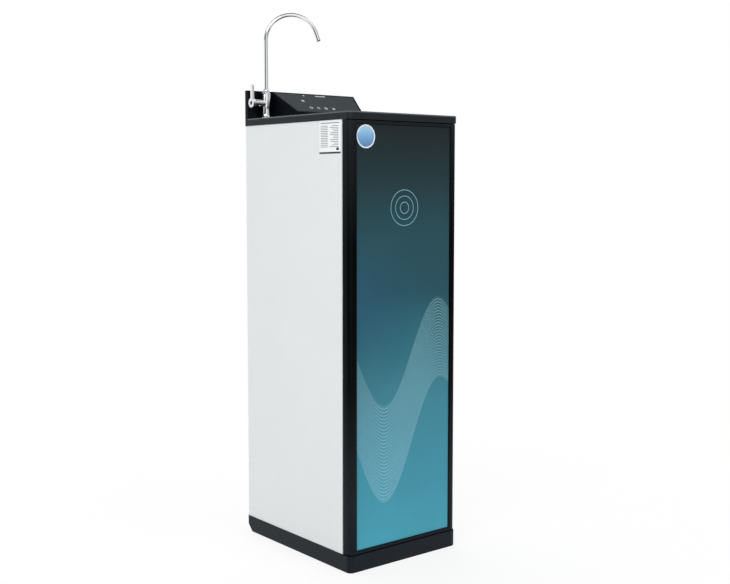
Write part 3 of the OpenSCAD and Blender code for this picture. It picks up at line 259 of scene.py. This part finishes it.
def back_painted(name, lift):
    """Glass painted behind: teal at the foot, near black at the head, bluer on the left of the middle."""
    made = Finish(name)
    low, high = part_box("door_glass")
    height = made.spread(made.axis("Z"), 0, 1, low.z, high.z)
    paint = made.ramp(height, lifted(GLASS_STOPS, lift))
    left = made.spread(made.axis("X"), 1, 0, low.x, high.x * 0.4)
    off_middle = made.math("ABSOLUTE", made.math("SUBTRACT", height, BLUE_PLACE))
    middle = made.spread(off_middle, 1, 0, 0.02, 0.2)
    blue = made.math("MULTIPLY", made.math("MULTIPLY", left, middle), BLUE_SHARE)
    paint = made.mix(blue, paint, srgb(44, 84, 112))
    cloud = made.spread(made.noise(5, 2), 0.0, 0.12)
    made.set(Base_Color=made.mix(cloud, paint, srgb(24, 34, 40)))
    made.set(Roughness=made.spread(made.noise(14), 0.1, 0.17))
    made.shader.inputs["Specular IOR Level"].default_value = 0.22
    made.bump(made.noise(240, 2), 0.02, FILM_DEPTH)
    return made


BAND_LINE = 0.004


def banded(name, colour, band, low, high, line):
    """Pale body with a printed colour band between two heights and a thin line above it."""
    made = Finish(name)
    z = made.axis("Z")

    def between(foot, head):
        return made.math("MULTIPLY", made.math("GREATER_THAN", z, foot), made.math("LESS_THAN", z, head))

    printed = made.math("MAXIMUM", between(low, high), between(line, line + BAND_LINE))
    tone = made.mix(made.spread(made.noise(12), 0, 1), darker(colour, 0.93), colour)
    made.set(Base_Color=made.mix(printed, tone, band))
    made.set(Roughness=made.spread(made.noise(40), 0.28, 0.4))
    made.bump(made.noise(700), 0.05, GRAIN_DEPTH)
    return made


black = surface("satin_black_plastic", srgb(28, 33, 37), 0.36, 1100, 0.3, specular=0.16, patches=0.03)
base_black = surface("base_plastic", srgb(11, 21, 29), 0.36, 1100, 0.3, specular=0.15, patches=0.03)
# The door frame's colour carries a painted reflection that changes with height
frame_black = painted_reflection_at_ends(
    surface("door_frame_plastic_painted_reflection", srgb(6, 8, 9), 0.28, 1500, 0.08, specular=0.05, patches=0.04))
console_black = surface("console_plastic", srgb(11, 14, 21), 0.3, 1100, 0.2, specular=0.08, patches=0.04)
# Painted highlight: the cap's rim is a much lighter grey than the cap, so it shows as a bright edge line
rim_highlight_paint = surface("cap_rim_painted_highlight", srgb(72, 76, 80), 0.2, 900, 0.03, specular=0.8)
fascia_grey = surface("fascia_overlay", srgb(41, 51, 55), 0.22, 900, 0.03, specular=0.25)
white_paint = surface("white_powder_coat", srgb(222, 225, 224), 0.42, 620, 0.10, variation=0.985)
grey_paint = surface("rear_powder_coat", srgb(196, 200, 199), 0.45, 620, 0.12, variation=0.96)
rubber = surface("black_rubber", srgb(26, 26, 27), 0.75, 500, 0.3, specular=0.3)
white_plastic = surface("white_plastic", srgb(232, 232, 228), 0.36, 700, 0.06, variation=0.95)
liner_grey = surface("liner_sheet", srgb(150, 156, 158), 0.5, 420, 0.15, variation=0.94)
blue_plastic = surface("blue_plastic", srgb(38, 104, 176), 0.34, 700, 0.06)
dark_metal = surface("motor_paint", srgb(54, 58, 63), 0.42, 520, 0.15)
board_green = surface("circuit_board", srgb(26, 96, 58), 0.4, 260, 0.3)
tube_plastic = surface("tube_plastic", srgb(235, 238, 239), 0.42, 300, 0.05, variation=0.96)
key_grey = surface("key_plastic", srgb(84, 90, 94), 0.3, 900, 0.04, specular=0.4)
key_print = surface("key_print", srgb(214, 220, 222), 0.5, 900, 0.05, variation=0.9)
lens_white = surface("lens_plastic", srgb(196, 206, 211), 0.25, 500, 0.04, variation=0.9)
zinc = spangled("zinc_sheet", srgb(178, 182, 185))
steel = polished("bright_steel", srgb(190, 193, 196), 0.22)
chrome = polished("chrome", srgb(238, 240, 242), 0.05)
brass = polished("machined_brass", srgb(206, 172, 98), 0.2)
glass = back_painted("back_painted_glass", 0.0)
ribbon_paint = back_painted("printed_band", 0.085)
line_paint = surface("printed_lines", srgb(128, 190, 202), 0.4, 900, 0.02, variation=0.88)
ring_paint = surface("printed_rings", srgb(118, 172, 184), 0.4, 900, 0.02, variation=0.9)
label_paper = surface("label_paper", srgb(238, 240, 240), 0.5, 800, 0.05, variation=0.98)
label_ink = surface("label_ink", srgb(128, 132, 136), 0.6, 800, 0.05)
label_dark = surface("label_bar", srgb(40, 42, 46), 0.6, 800, 0.05)
badge_silver = surface("badge_rim", srgb(214, 222, 230), 0.3, 600, 0.03, variation=0.95)

filter_low, filter_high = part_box("cartridge_1")
filter_colours = [srgb(64, 132, 190), srgb(70, 158, 150), srgb(98, 112, 178)]
filter_bands = [
    banded("filter_band_%d" % number, srgb(238, 238, 234), colour,
           filter_low.z + 0.12, filter_high.z - 0.08, filter_high.z - 0.07)
    for number, colour in enumerate(filter_colours, 1)
]
post_low, post_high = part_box("post_filters")
post_band = banded("post_filter_band", srgb(236, 236, 232), srgb(92, 168, 196),
                   post_low.z + 0.06, post_high.z - 0.06, post_high.z - 0.05)
tank_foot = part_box("pressure_tank")[0].z
tank_band = banded("tank_band", srgb(220, 223, 221), srgb(60, 128, 184),
                   tank_foot + 0.15, tank_foot + 0.185, tank_foot + 0.19)

FINISHES = {
    black: ["top_cap", "magnet_catch", "pump_head", "solenoid_coil", "power_supply", "power_inlet",
            "tank_stand", "spout_nozzle", "lever_screw"],
    base_black: ["base_tray"],
    frame_black: ["door_frame", "door_bushes"],
    console_black: ["console_housing"],
    fascia_grey: ["console_fascia"],
    white_paint: ["left_panel", "right_panel"],
    grey_paint: ["rear_panel", "service_panel"],
    rubber: ["base_pads", "tap_gasket", "spout_seal", "shelf_grommet", "pump_feet"],
    white_plastic: ["filter_heads", "membrane_housing", "filter_clips", "solenoid_valve", "tank_valve",
                    "inlet_fitting", "drain_fitting"],
    liner_grey: ["door_liner"],
    blue_plastic: ["membrane_cap", "tank_valve_lever"],
    dark_metal: ["pump_motor"],
    board_green: ["control_board"],
    tube_plastic: ["water_tubes"],
    key_grey: ["key_1", "key_2", "key_3", "key_4"],
    lens_white: ["indicator_lenses"],
    zinc: ["mid_shelf", "filter_bracket"],
    steel: ["panel_screws", "hinge_pins", "strike_plate"],
    chrome: ["tap_body", "spout_collar", "spout_tube", "lever_handle"],
    brass: ["tap_nut", "valve_cartridge", "lever_spindle"],
    glass: ["door_glass"],
    filter_bands[0]: ["cartridge_1"],
    filter_bands[1]: ["cartridge_2"],
    filter_bands[2]: ["cartridge_3"],
    post_band: ["post_filters"],
    tank_band: ["pressure_tank"],
}
for finish, names in FINISHES.items():
    for name in names:
        slots = nodes[name].data.materials
        slots.clear()
        slots.append(finish.material)


# Softened edges on the moulded, cast and machined nodes. Widths stay small where recesses are shallow.

EDGE_ROUNDING = {
    0.002: ["top_cap"],
    0.0011: ["console_housing"],
    0.0009: ["base_tray"],
    0.0008: ["lever_handle", "door_glass", "filter_heads", "power_inlet", "power_supply", "tank_stand"],
    0.0007: ["door_frame"],
    0.0005: ["tap_body", "key_1", "key_2", "key_3", "key_4", "console_fascia", "spout_collar",
             "tank_valve_lever", "solenoid_valve", "pump_motor", "magnet_catch", "inlet_fitting",
             "drain_fitting"],
}
WELD_DISTANCE = 0.000002
FLAT_ANGLE = math.radians(0.5)
SHARP_ANGLE = math.radians(40)
ROUNDING_STEPS = 3
for width, names in EDGE_ROUNDING.items():
    for name in names:
        weld = nodes[name].modifiers.new("weld", "WELD")
        weld.merge_threshold = WELD_DISTANCE
        flats = nodes[name].modifiers.new("flats", "DECIMATE")
        flats.decimate_type = "DISSOLVE"
        flats.angle_limit = FLAT_ANGLE
        bevel = nodes[name].modifiers.new("edges", "BEVEL")
        bevel.width = width
        bevel.segments = ROUNDING_STEPS
        bevel.limit_method = "ANGLE"
        bevel.angle_limit = SHARP_ANGLE
        bevel.harden_normals = True


# Helpers for the added pieces

RIGHT = Vector((1, 0, 0))
LEFT = Vector((-1, 0, 0))
UP = Vector((0, 0, 1))
SAME_POINT = 0.000001


def piece(name, mesh, finish, body, thickness=0.0):
    """Adds a mesh as a piece that rides on a body. A flat mesh becomes a closed sheet of a thickness."""
    mesh.materials.append(finish.material)
    added = bpy.data.objects.new(name, mesh)
    scene.collection.objects.link(added)
    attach(added, body)
    if thickness:
        sheet = added.modifiers.new("sheet", "SOLIDIFY")
        sheet.thickness = thickness
        sheet.offset = 0


def finished_mesh(name, made):
    """Turns an edited mesh into mesh data and frees it."""
    mesh = bpy.data.meshes.new(name)
    made.to_mesh(mesh)
    made.free()
    return mesh


def strip_mesh(name, strips):
    """One mesh of flat ribbons. Each strip is a list of pairs of points, one on either edge."""
    made = bmesh.new()
    for strip in strips:
        rows = [(made.verts.new(a), made.verts.new(b)) for a, b in strip]
        for (a, b), (c, d) in zip(rows, rows[1:]):
            made.faces.new((a, b, d, c))
    bmesh.ops.remove_doubles(made, verts=made.verts, dist=SAME_POINT)
    return finished_mesh(name, made)


def ring_strip(centre, across, upward, inner, outer, turn=(0, 360), steps=72):
    """Pairs of points of a flat ring or arc, for strip_mesh."""
    pairs = []
    for step in range(steps + 1):
        angle = math.radians(turn[0] + (turn[1] - turn[0]) * step / steps)
        way = across * math.cos(angle) + upward * math.sin(angle)
        pairs.append((centre + way * inner, centre + way * outer))
    return pairs


def bar_strip(start, end, width, normal):
    """Pairs of points of a flat bar from start to end, for strip_mesh."""
    side = (end - start).normalized().cross(normal) * (width / 2)
    return [(start - side, start + side), (end - side, end + side)]


def lathe_y(name, centre, profile, steps=64):
    """Turns (radius, depth towards the viewer) pairs about the Y axis through centre."""
    made = bmesh.new()
    loops = []
    for radius, depth in profile:
        loop = []
        for step in range(steps):
            angle = 2 * math.pi * step / steps
            way = Vector((radius * math.cos(angle), -depth, radius * math.sin(angle)))
            loop.append(made.verts.new(centre + way))
        loops.append(loop)
    for first, second in zip(loops, loops[1:]):
        for step in range(steps):
            after = (step + 1) % steps
            made.faces.new((first[step], first[after], second[after], second[step]))
    made.faces.new(loops[0])
    made.faces.new(loops[-1])
    bmesh.ops.recalc_face_normals(made, faces=made.faces)
    mesh = finished_mesh(name, made)
    for face in mesh.polygons:
        face.use_smooth = True
    return mesh


# Rounded rim of the cap: from the console wall on the left, round the front, to the console on the right. Its
# light grey is a painted highlight along the cap's top edge.

RIM_RADIUS = 0.0016
RIM_INSET = 0.0011
RIM_STEPS = 4
CAP_CORNER = 0.012
CORNER_STEPS = 8
CONSOLE_WALL = 0.016
cap_low, cap_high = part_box("top_cap")
console_low, console_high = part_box("console_housing")
rim_bend = CAP_CORNER - RIM_INSET
left_bend = cap_low.x + CAP_CORNER
right_bend = cap_high.x - CAP_CORNER
front_bend = cap_low.y + CAP_CORNER
rim_path = [(left_bend - rim_bend, console_high.y - CONSOLE_WALL)]
for bend_x, first_angle in ((left_bend, 180), (right_bend, 270)):
    for step in range(CORNER_STEPS + 1):
        angle = math.radians(first_angle + 90 * step / CORNER_STEPS)
        rim_path.append((bend_x + rim_bend * math.cos(angle), front_bend + rim_bend * math.sin(angle)))
rim_path.append((right_bend + rim_bend, console_low.y))
rim_curve = bpy.data.curves.new("cap_rim", "CURVE")
rim_curve.dimensions = "3D"
rim_curve.bevel_depth = RIM_RADIUS
rim_curve.bevel_resolution = RIM_STEPS
rim_curve.use_fill_caps = True
rim_line = rim_curve.splines.new("POLY")
rim_line.points.add(len(rim_path) - 1)
for point, (x, y) in zip(rim_line.points, rim_path):
    point.co = (x, y, cap_high.z - RIM_INSET, 1)
rim_curve.materials.append(rim_highlight_paint.material)
rim = bpy.data.objects.new("cap_rim", rim_curve)
scene.collection.objects.link(rim)
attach(rim, "cabinet")


# Print on the glass: a band of flowing lines with ripple rings above

PRINT = 0.00008
BAND_PROUD = 0.00008
LINE_PROUD = 0.00018
PRINT_MARGIN = 0.0006
WAVE_STEPS = 90
WAVE_HEIGHT = 0.12
WAVE_LENGTH = 0.31
WAVE_MIDDLE = 0.36
WAVE_SWELL = 0.22
SWELL_START = 0.6
LINE_COUNT = 27
LINE_PITCH = 0.0062
LINE_HALF = 0.00062
THINNEST = 0.35
THIN_START, THIN_SPAN = 0.12, 0.76
RING_HEIGHT = 0.766
RING_RADII = (0.012, 0.025, 0.038)
RING_HALF = 0.0007
glass_low, glass_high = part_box("door_glass")
band_y = glass_low.y - BAND_PROUD
line_y = glass_low.y - LINE_PROUD


def wave(x, offset):
    """Height at x of the line that runs at an offset from the band's middle."""
    phase = 2 * math.pi * (x - glass_low.x) / WAVE_LENGTH
    swell = 1 + WAVE_SWELL * math.sin(phase * 0.5 + SWELL_START)
    return WAVE_MIDDLE - WAVE_HEIGHT * math.sin(phase) + offset * swell


print_left = glass_low.x + PRINT_MARGIN
print_width = glass_high.x - glass_low.x - 2 * PRINT_MARGIN
wave_x = [print_left + print_width * step / WAVE_STEPS for step in range(WAVE_STEPS + 1)]
band_half = LINE_PITCH * (LINE_COUNT + 1) / 2
band = []
for x in wave_x:
    band.append((Vector((x, band_y, wave(x, -band_half))), Vector((x, band_y, wave(x, band_half)))))
piece("glass_ribbon", strip_mesh("glass_ribbon", [band]), ribbon_paint, "door", PRINT)

lines = []
for number in range(LINE_COUNT):
    offset = LINE_PITCH * (number - (LINE_COUNT - 1) / 2)
    line = []
    for step, x in enumerate(wave_x):
        swing = math.sin(math.pi * (THIN_START + THIN_SPAN * step / WAVE_STEPS))
        half = LINE_HALF * (THINNEST + (1 - THINNEST) * swing ** 2)
        z = wave(x, offset)
        line.append((Vector((x, line_y, z - half)), Vector((x, line_y, z + half))))
    lines.append(line)
piece("glass_lines", strip_mesh("glass_lines", lines), line_paint, "door", PRINT)

ring_centre = Vector((0, line_y, RING_HEIGHT))
rings = [ring_strip(ring_centre, RIGHT, UP, radius - RING_HALF, radius + RING_HALF) for radius in RING_RADII]
piece("glass_rings", strip_mesh("glass_rings", rings), ring_paint, "door", PRINT)


# Plain round badge in the glass's upper left corner: a bright rim round a low dome

BADGE_RADIUS = 0.0246
BADGE_MARGIN = 0.001
BADGE_RIM = 0.0032
BADGE_DEPTH = 0.0013
BADGE_FADE = 0.024


def badge_blue(middle):
    """Blue print that is lighter towards its head."""
    made = Finish("badge_blue")
    height = made.spread(made.axis("Z"), 0, 1, middle - BADGE_FADE, middle + BADGE_FADE)
    paint = made.ramp(height, [(0, srgb(72, 110, 156)), (0.5, srgb(112, 160, 200)), (1, srgb(164, 200, 224))])
    made.set(Base_Color=made.mix(made.spread(made.noise(60), 0, 0.25), paint, srgb(106, 152, 190)))
    made.set(Roughness=made.spread(made.noise(90), 0.22, 0.32))
    made.bump(made.noise(500), 0.03, FILM_DEPTH)
    return made


badge_reach = BADGE_RADIUS + BADGE_MARGIN
badge_centre = Vector((glass_low.x + badge_reach, glass_low.y - PRINT, glass_high.z - badge_reach))
rim_inside = BADGE_RADIUS - BADGE_RIM
rim_profile = [
    (rim_inside - 0.0005, 0),
    (BADGE_RADIUS, 0),
    (BADGE_RADIUS, 0.0005),
    (BADGE_RADIUS - 0.0006, 0.0008),
    (rim_inside + 0.0006, 0.0008),
    (rim_inside, 0.0004),
]
piece("badge_rim", lathe_y("badge_rim", badge_centre, rim_profile), badge_silver, "door")
dome_profile = [
    (rim_inside + 0.0004, 0.0003),
    (rim_inside - 0.0002, 0.0007),
    (rim_inside * 0.87, 0.00095),
    (rim_inside * 0.6, 0.0012),
    (rim_inside * 0.26, BADGE_DEPTH),
]
piece("badge_face", lathe_y("badge_face", badge_centre, dome_profile), badge_blue(badge_centre.z), "door")


# Blank label on the left panel: paper with two columns of ruled rows, a dark foot bar and a small dark block

LABEL_FRONT, LABEL_BACK = -0.1655, -0.0925
LABEL_FOOT, LABEL_HEAD = 0.8795, 0.9485
PAPER_LIFT, INK_LIFT, BLOCK_LIFT = 0.0001, 0.0002, 0.0003
TITLE_START, TITLE_DROP, TITLE_HEIGHT = 0.06, 0.0055, 0.0018
ROW_COUNT = 13
ROW_DROP, ROW_PITCH, ROW_HEIGHT = 0.0115, 0.0036, 0.0013
FRONT_COLUMN, COLUMN_LENGTH = 0.1, 0.42
BACK_COLUMN, COLUMNS_END = 0.6, 0.94
ROW_LENGTH, RAGGED, RAGGED_TURN = 0.75, 0.25, 1.7
FOOT_BAR = 0.0036
BLOCK_START, BLOCK_END = 0.08, 0.2
BLOCK_RISE, BLOCK_HEIGHT = 0.0095, 0.0055
panel_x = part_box("left_panel")[0].x


def label_bar(first, last, z, height, lift):
    """A level bar on the label. First and last are shares of the way from its front to its back."""
    start = Vector((panel_x - lift, LABEL_FRONT + (LABEL_BACK - LABEL_FRONT) * first, z))
    end = Vector((panel_x - lift, LABEL_FRONT + (LABEL_BACK - LABEL_FRONT) * last, z))
    return bar_strip(start, end, height, LEFT)


paper = [label_bar(0, 1, (LABEL_HEAD + LABEL_FOOT) / 2, LABEL_HEAD - LABEL_FOOT, PAPER_LIFT)]
piece("label_paper", strip_mesh("label_paper", paper), label_paper, "cabinet", PRINT)
rows = [label_bar(TITLE_START, COLUMNS_END, LABEL_HEAD - TITLE_DROP, TITLE_HEIGHT, INK_LIFT)]
for number in range(ROW_COUNT):
    z = LABEL_HEAD - ROW_DROP - number * ROW_PITCH
    length = COLUMN_LENGTH * (ROW_LENGTH + RAGGED * math.sin(number * RAGGED_TURN))
    rows.append(label_bar(BACK_COLUMN, COLUMNS_END, z, ROW_HEIGHT, INK_LIFT))
    rows.append(label_bar(FRONT_COLUMN, FRONT_COLUMN + length, z, ROW_HEIGHT, INK_LIFT))
piece("label_rows", strip_mesh("label_rows", rows), label_ink, "cabinet", PRINT)
foot_bars = [
    label_bar(0, 1, LABEL_FOOT + FOOT_BAR / 2, FOOT_BAR, INK_LIFT),
    label_bar(BLOCK_START, BLOCK_END, LABEL_FOOT + BLOCK_RISE, BLOCK_HEIGHT, BLOCK_LIFT),
]
piece("label_foot", strip_mesh("label_foot", foot_bars), label_dark, "cabinet", PRINT)


# Plain signs on the keys

KEY_PROUD = 0.001
SIGN_LIFT = 0.00006


def ring_and_stem(centre, upward, outward):
    """A ring that is open at its head, with a stem there."""
    return [
        ring_strip(centre, RIGHT, upward, 0.0029, 0.0041, (125, 415), 40),
        bar_strip(centre + upward * 0.0008, centre + upward * 0.0046, 0.0012, outward),
    ]


def drop(centre, upward, outward):
    """The outline of a drop: an arc and two straight sides that meet at its head."""
    head = centre + upward * 0.0048
    strips = [ring_strip(centre - upward * 0.0008, RIGHT, upward, 0.0023, 0.0034, (150, 390), 36)]
    for side in (-0.0025, 0.0025):
        strips.append(bar_strip(centre + RIGHT * side + upward * 0.0008, head, 0.0011, outward))
    return strips


def ring_and_dot(centre, upward, outward):
    """A ring with a dot in it."""
    return [
        ring_strip(centre, RIGHT, upward, 0.003, 0.0042),
        ring_strip(centre, RIGHT, upward, 0.0002, 0.0015),
    ]


def three_bars(centre, upward, outward):
    """Three bars that grow to the right."""
    strips = []
    for side in (-0.003, 0, 0.003):
        middle = centre + RIGHT * side
        strips.append(bar_strip(middle - upward * 0.0038, middle + upward * (side + 0.0012), 0.0018, outward))
    return strips


KEY_SIGNS = {"one": ring_and_stem, "two": drop, "three": ring_and_dot, "four": three_bars}
for number, (word, sign) in enumerate(KEY_SIGNS.items(), 1):
    joint = joints["key_%s_press" % word]
    outward = -Vector(joint["axis"]).normalized()
    upward = outward.cross(RIGHT).normalized()
    centre = Vector(joint["pos_m"]) + outward * (KEY_PROUD + SIGN_LIFT)
    name = "key_sign_%d" % number
    piece(name, strip_mesh(name, sign(centre, upward, outward)), key_print, "key_" + word, PRINT)


# Studio: white floor and surround, grey cards for the reflections and soft lamps

def math_node(tree, operation, first, second):
    """Output of a Math node on two sockets."""
    node = tree.nodes.new("ShaderNodeMath")
    node.operation = operation
    tree.links.new(first, node.inputs[0])
    tree.links.new(second, node.inputs[1])
    return node.outputs[0]


def show_white(tree, lit, shown_share, output):
    """Mixes a lit shader with plain white, which rays from the camera, mirrors and glass see."""
    white = tree.nodes.new("ShaderNodeEmission")
    path = tree.nodes.new("ShaderNodeLightPath")
    seen = math_node(tree, "MAXIMUM", path.outputs["Is Camera Ray"], path.outputs["Is Glossy Ray"])
    seen = math_node(tree, "MAXIMUM", seen, path.outputs["Is Transmission Ray"])
    if shown_share:
        seen = math_node(tree, "MULTIPLY", seen, shown_share)
    blend = tree.nodes.new("ShaderNodeMixShader")
    tree.links.new(seen, blend.inputs[0])
    tree.links.new(lit, blend.inputs[1])
    tree.links.new(white.outputs[0], blend.inputs[2])
    tree.links.new(blend.outputs[0], output)


def stage_sheet(name, corners, material):
    """One flat sheet of the studio."""
    mesh = bpy.data.meshes.new(name)
    mesh.from_pydata(corners, [], [(0, 1, 2, 3)])
    mesh.materials.append(material)
    sheet = bpy.data.objects.new(name, mesh)
    scene.collection.objects.link(sheet)
    return sheet


# Floor: a faint shadow near the base, which fades to plain white

FLOOR_HALF = 12
FLOOR_GREY = (0.86, 0.86, 0.86, 1)
FLOOR_ROUGH, FLOOR_SPECULAR = 0.9, 0.1
SHADOW_NEAR, SHADOW_FAR = 0.25, 1.2
WHITE_NEAR, WHITE_FAR = 0.82, 1.0
ground = bpy.data.materials.new("floor_white")
ground.use_nodes = True
tree = ground.node_tree
paint = tree.nodes["Principled BSDF"]
paint.inputs["Base Color"].default_value = FLOOR_GREY
paint.inputs["Roughness"].default_value = FLOOR_ROUGH
paint.inputs["Specular IOR Level"].default_value = FLOOR_SPECULAR
place = tree.nodes.new("ShaderNodeTexCoord")
distance = tree.nodes.new("ShaderNodeVectorMath")
distance.operation = "LENGTH"
tree.links.new(place.outputs["Object"], distance.inputs[0])
fade = tree.nodes.new("ShaderNodeMapRange")
tree.links.new(distance.outputs["Value"], fade.inputs["Value"])
fade.inputs["From Min"].default_value = SHADOW_NEAR
fade.inputs["From Max"].default_value = SHADOW_FAR
fade.inputs["To Min"].default_value = WHITE_NEAR
fade.inputs["To Max"].default_value = WHITE_FAR
show_white(tree, paint.outputs[0], fade.outputs["Result"], tree.nodes["Material Output"].inputs["Surface"])
floor_corners = [(x * FLOOR_HALF, y * FLOOR_HALF, 0) for x, y in ((-1, -1), (1, -1), (1, 1), (-1, 1))]
stage_sheet("floor", floor_corners, ground)

SKY_COLOUR = (0.95, 0.97, 1, 1)
SKY_STRENGTH = 0.5
world = bpy.data.worlds.new("surround")
scene.world = world
world.use_nodes = True
tree = world.node_tree
soft = tree.nodes["Background"]
soft.inputs["Color"].default_value = SKY_COLOUR
soft.inputs["Strength"].default_value = SKY_STRENGTH
show_white(tree, soft.outputs[0], None, tree.nodes["World Output"].inputs["Surface"])

# Standing cards: two corners in plan, foot, head and grey. Hanging cards: two opposite corners and grey.

STANDING_CARDS = {
    "card_front_right": ((-0.5, -3.6), (3.4, -0.9), 0, 1.13, 0.28),
    "card_upper_right": ((-0.2, -3.6), (3.4, -0.9), 1.13, 3.2, 0.5),
    "card_left": ((-3.1, 0.8), (-2.3, -2.2), 0, 2.2, 0.1),
    "card_back_right": ((3.4, 0.6), (0.6, 3.6), 0, 3.6, 0.08),
    "card_back_left": ((-0.6, 3.6), (-3.6, 1.2), 0, 1.22, 0.85),
    "card_upper_left": ((-0.6, 3.6), (-3.6, 1.2), 1.65, 4.2, 0.4),
}
HANGING_CARDS = {
    "card_over_console": ((1.5, 0.9), (3.4, 2.9), 0.5),
    "card_over_spout": ((-3.4, -2.2), (1.2, 3), 0.3),
}
CEILING = 4.2


def card(name, corners, grey):
    """Grey sheet that only mirrors see. It casts no shadow."""
    material = bpy.data.materials.new(name)
    material.use_nodes = True
    shader = material.node_tree
    glow = shader.nodes.new("ShaderNodeEmission")
    glow.inputs["Color"].default_value = (grey, grey, grey, 1)
    shader.links.new(glow.outputs[0], shader.nodes["Material Output"].inputs["Surface"])
    sheet = stage_sheet(name, corners, material)
    sheet.visible_camera = False
    sheet.visible_diffuse = False
    sheet.visible_transmission = False
    sheet.visible_shadow = False


for name, (first, second, foot, head, grey) in STANDING_CARDS.items():
    card(name, [first + (foot,), second + (foot,), second + (head,), first + (head,)], grey)
for name, ((x0, y0), (x1, y1), grey) in HANGING_CARDS.items():
    card(name, [(x0, y0, CEILING), (x1, y0, CEILING), (x1, y1, CEILING), (x0, y1, CEILING)], grey)


def lamp(name, place, target, size, watts, mirrored=True):
    """Soft square lamp aimed at a point. Mirrors see it only if it is mirrored."""
    data = bpy.data.lights.new(name, "AREA")
    data.size = size
    data.energy = watts
    made = bpy.data.objects.new(name, data)
    scene.collection.objects.link(made)
    made.location = place
    made.rotation_euler = (Vector(target) - Vector(place)).to_track_quat("-Z", "Y").to_euler()
    made.visible_glossy = mirrored


lamp("key_lamp", (-3.2, -1.6, 2.6), (0, 0, 0.5), 2.2, 76)
lamp("front_lamp", (0.9, -3.4, 1.8), (0, 0, 0.5), 2.2, 46, mirrored=False)
lamp("rim_lamp", (-0.1, 3.1, 3.5), (0, 0, 0.9), 2.0, 60, mirrored=False)
lamp("rear_lamp", (2.2, 3.0, 2.2), (0, 0, 0.5), 2.2, 50, mirrored=False)
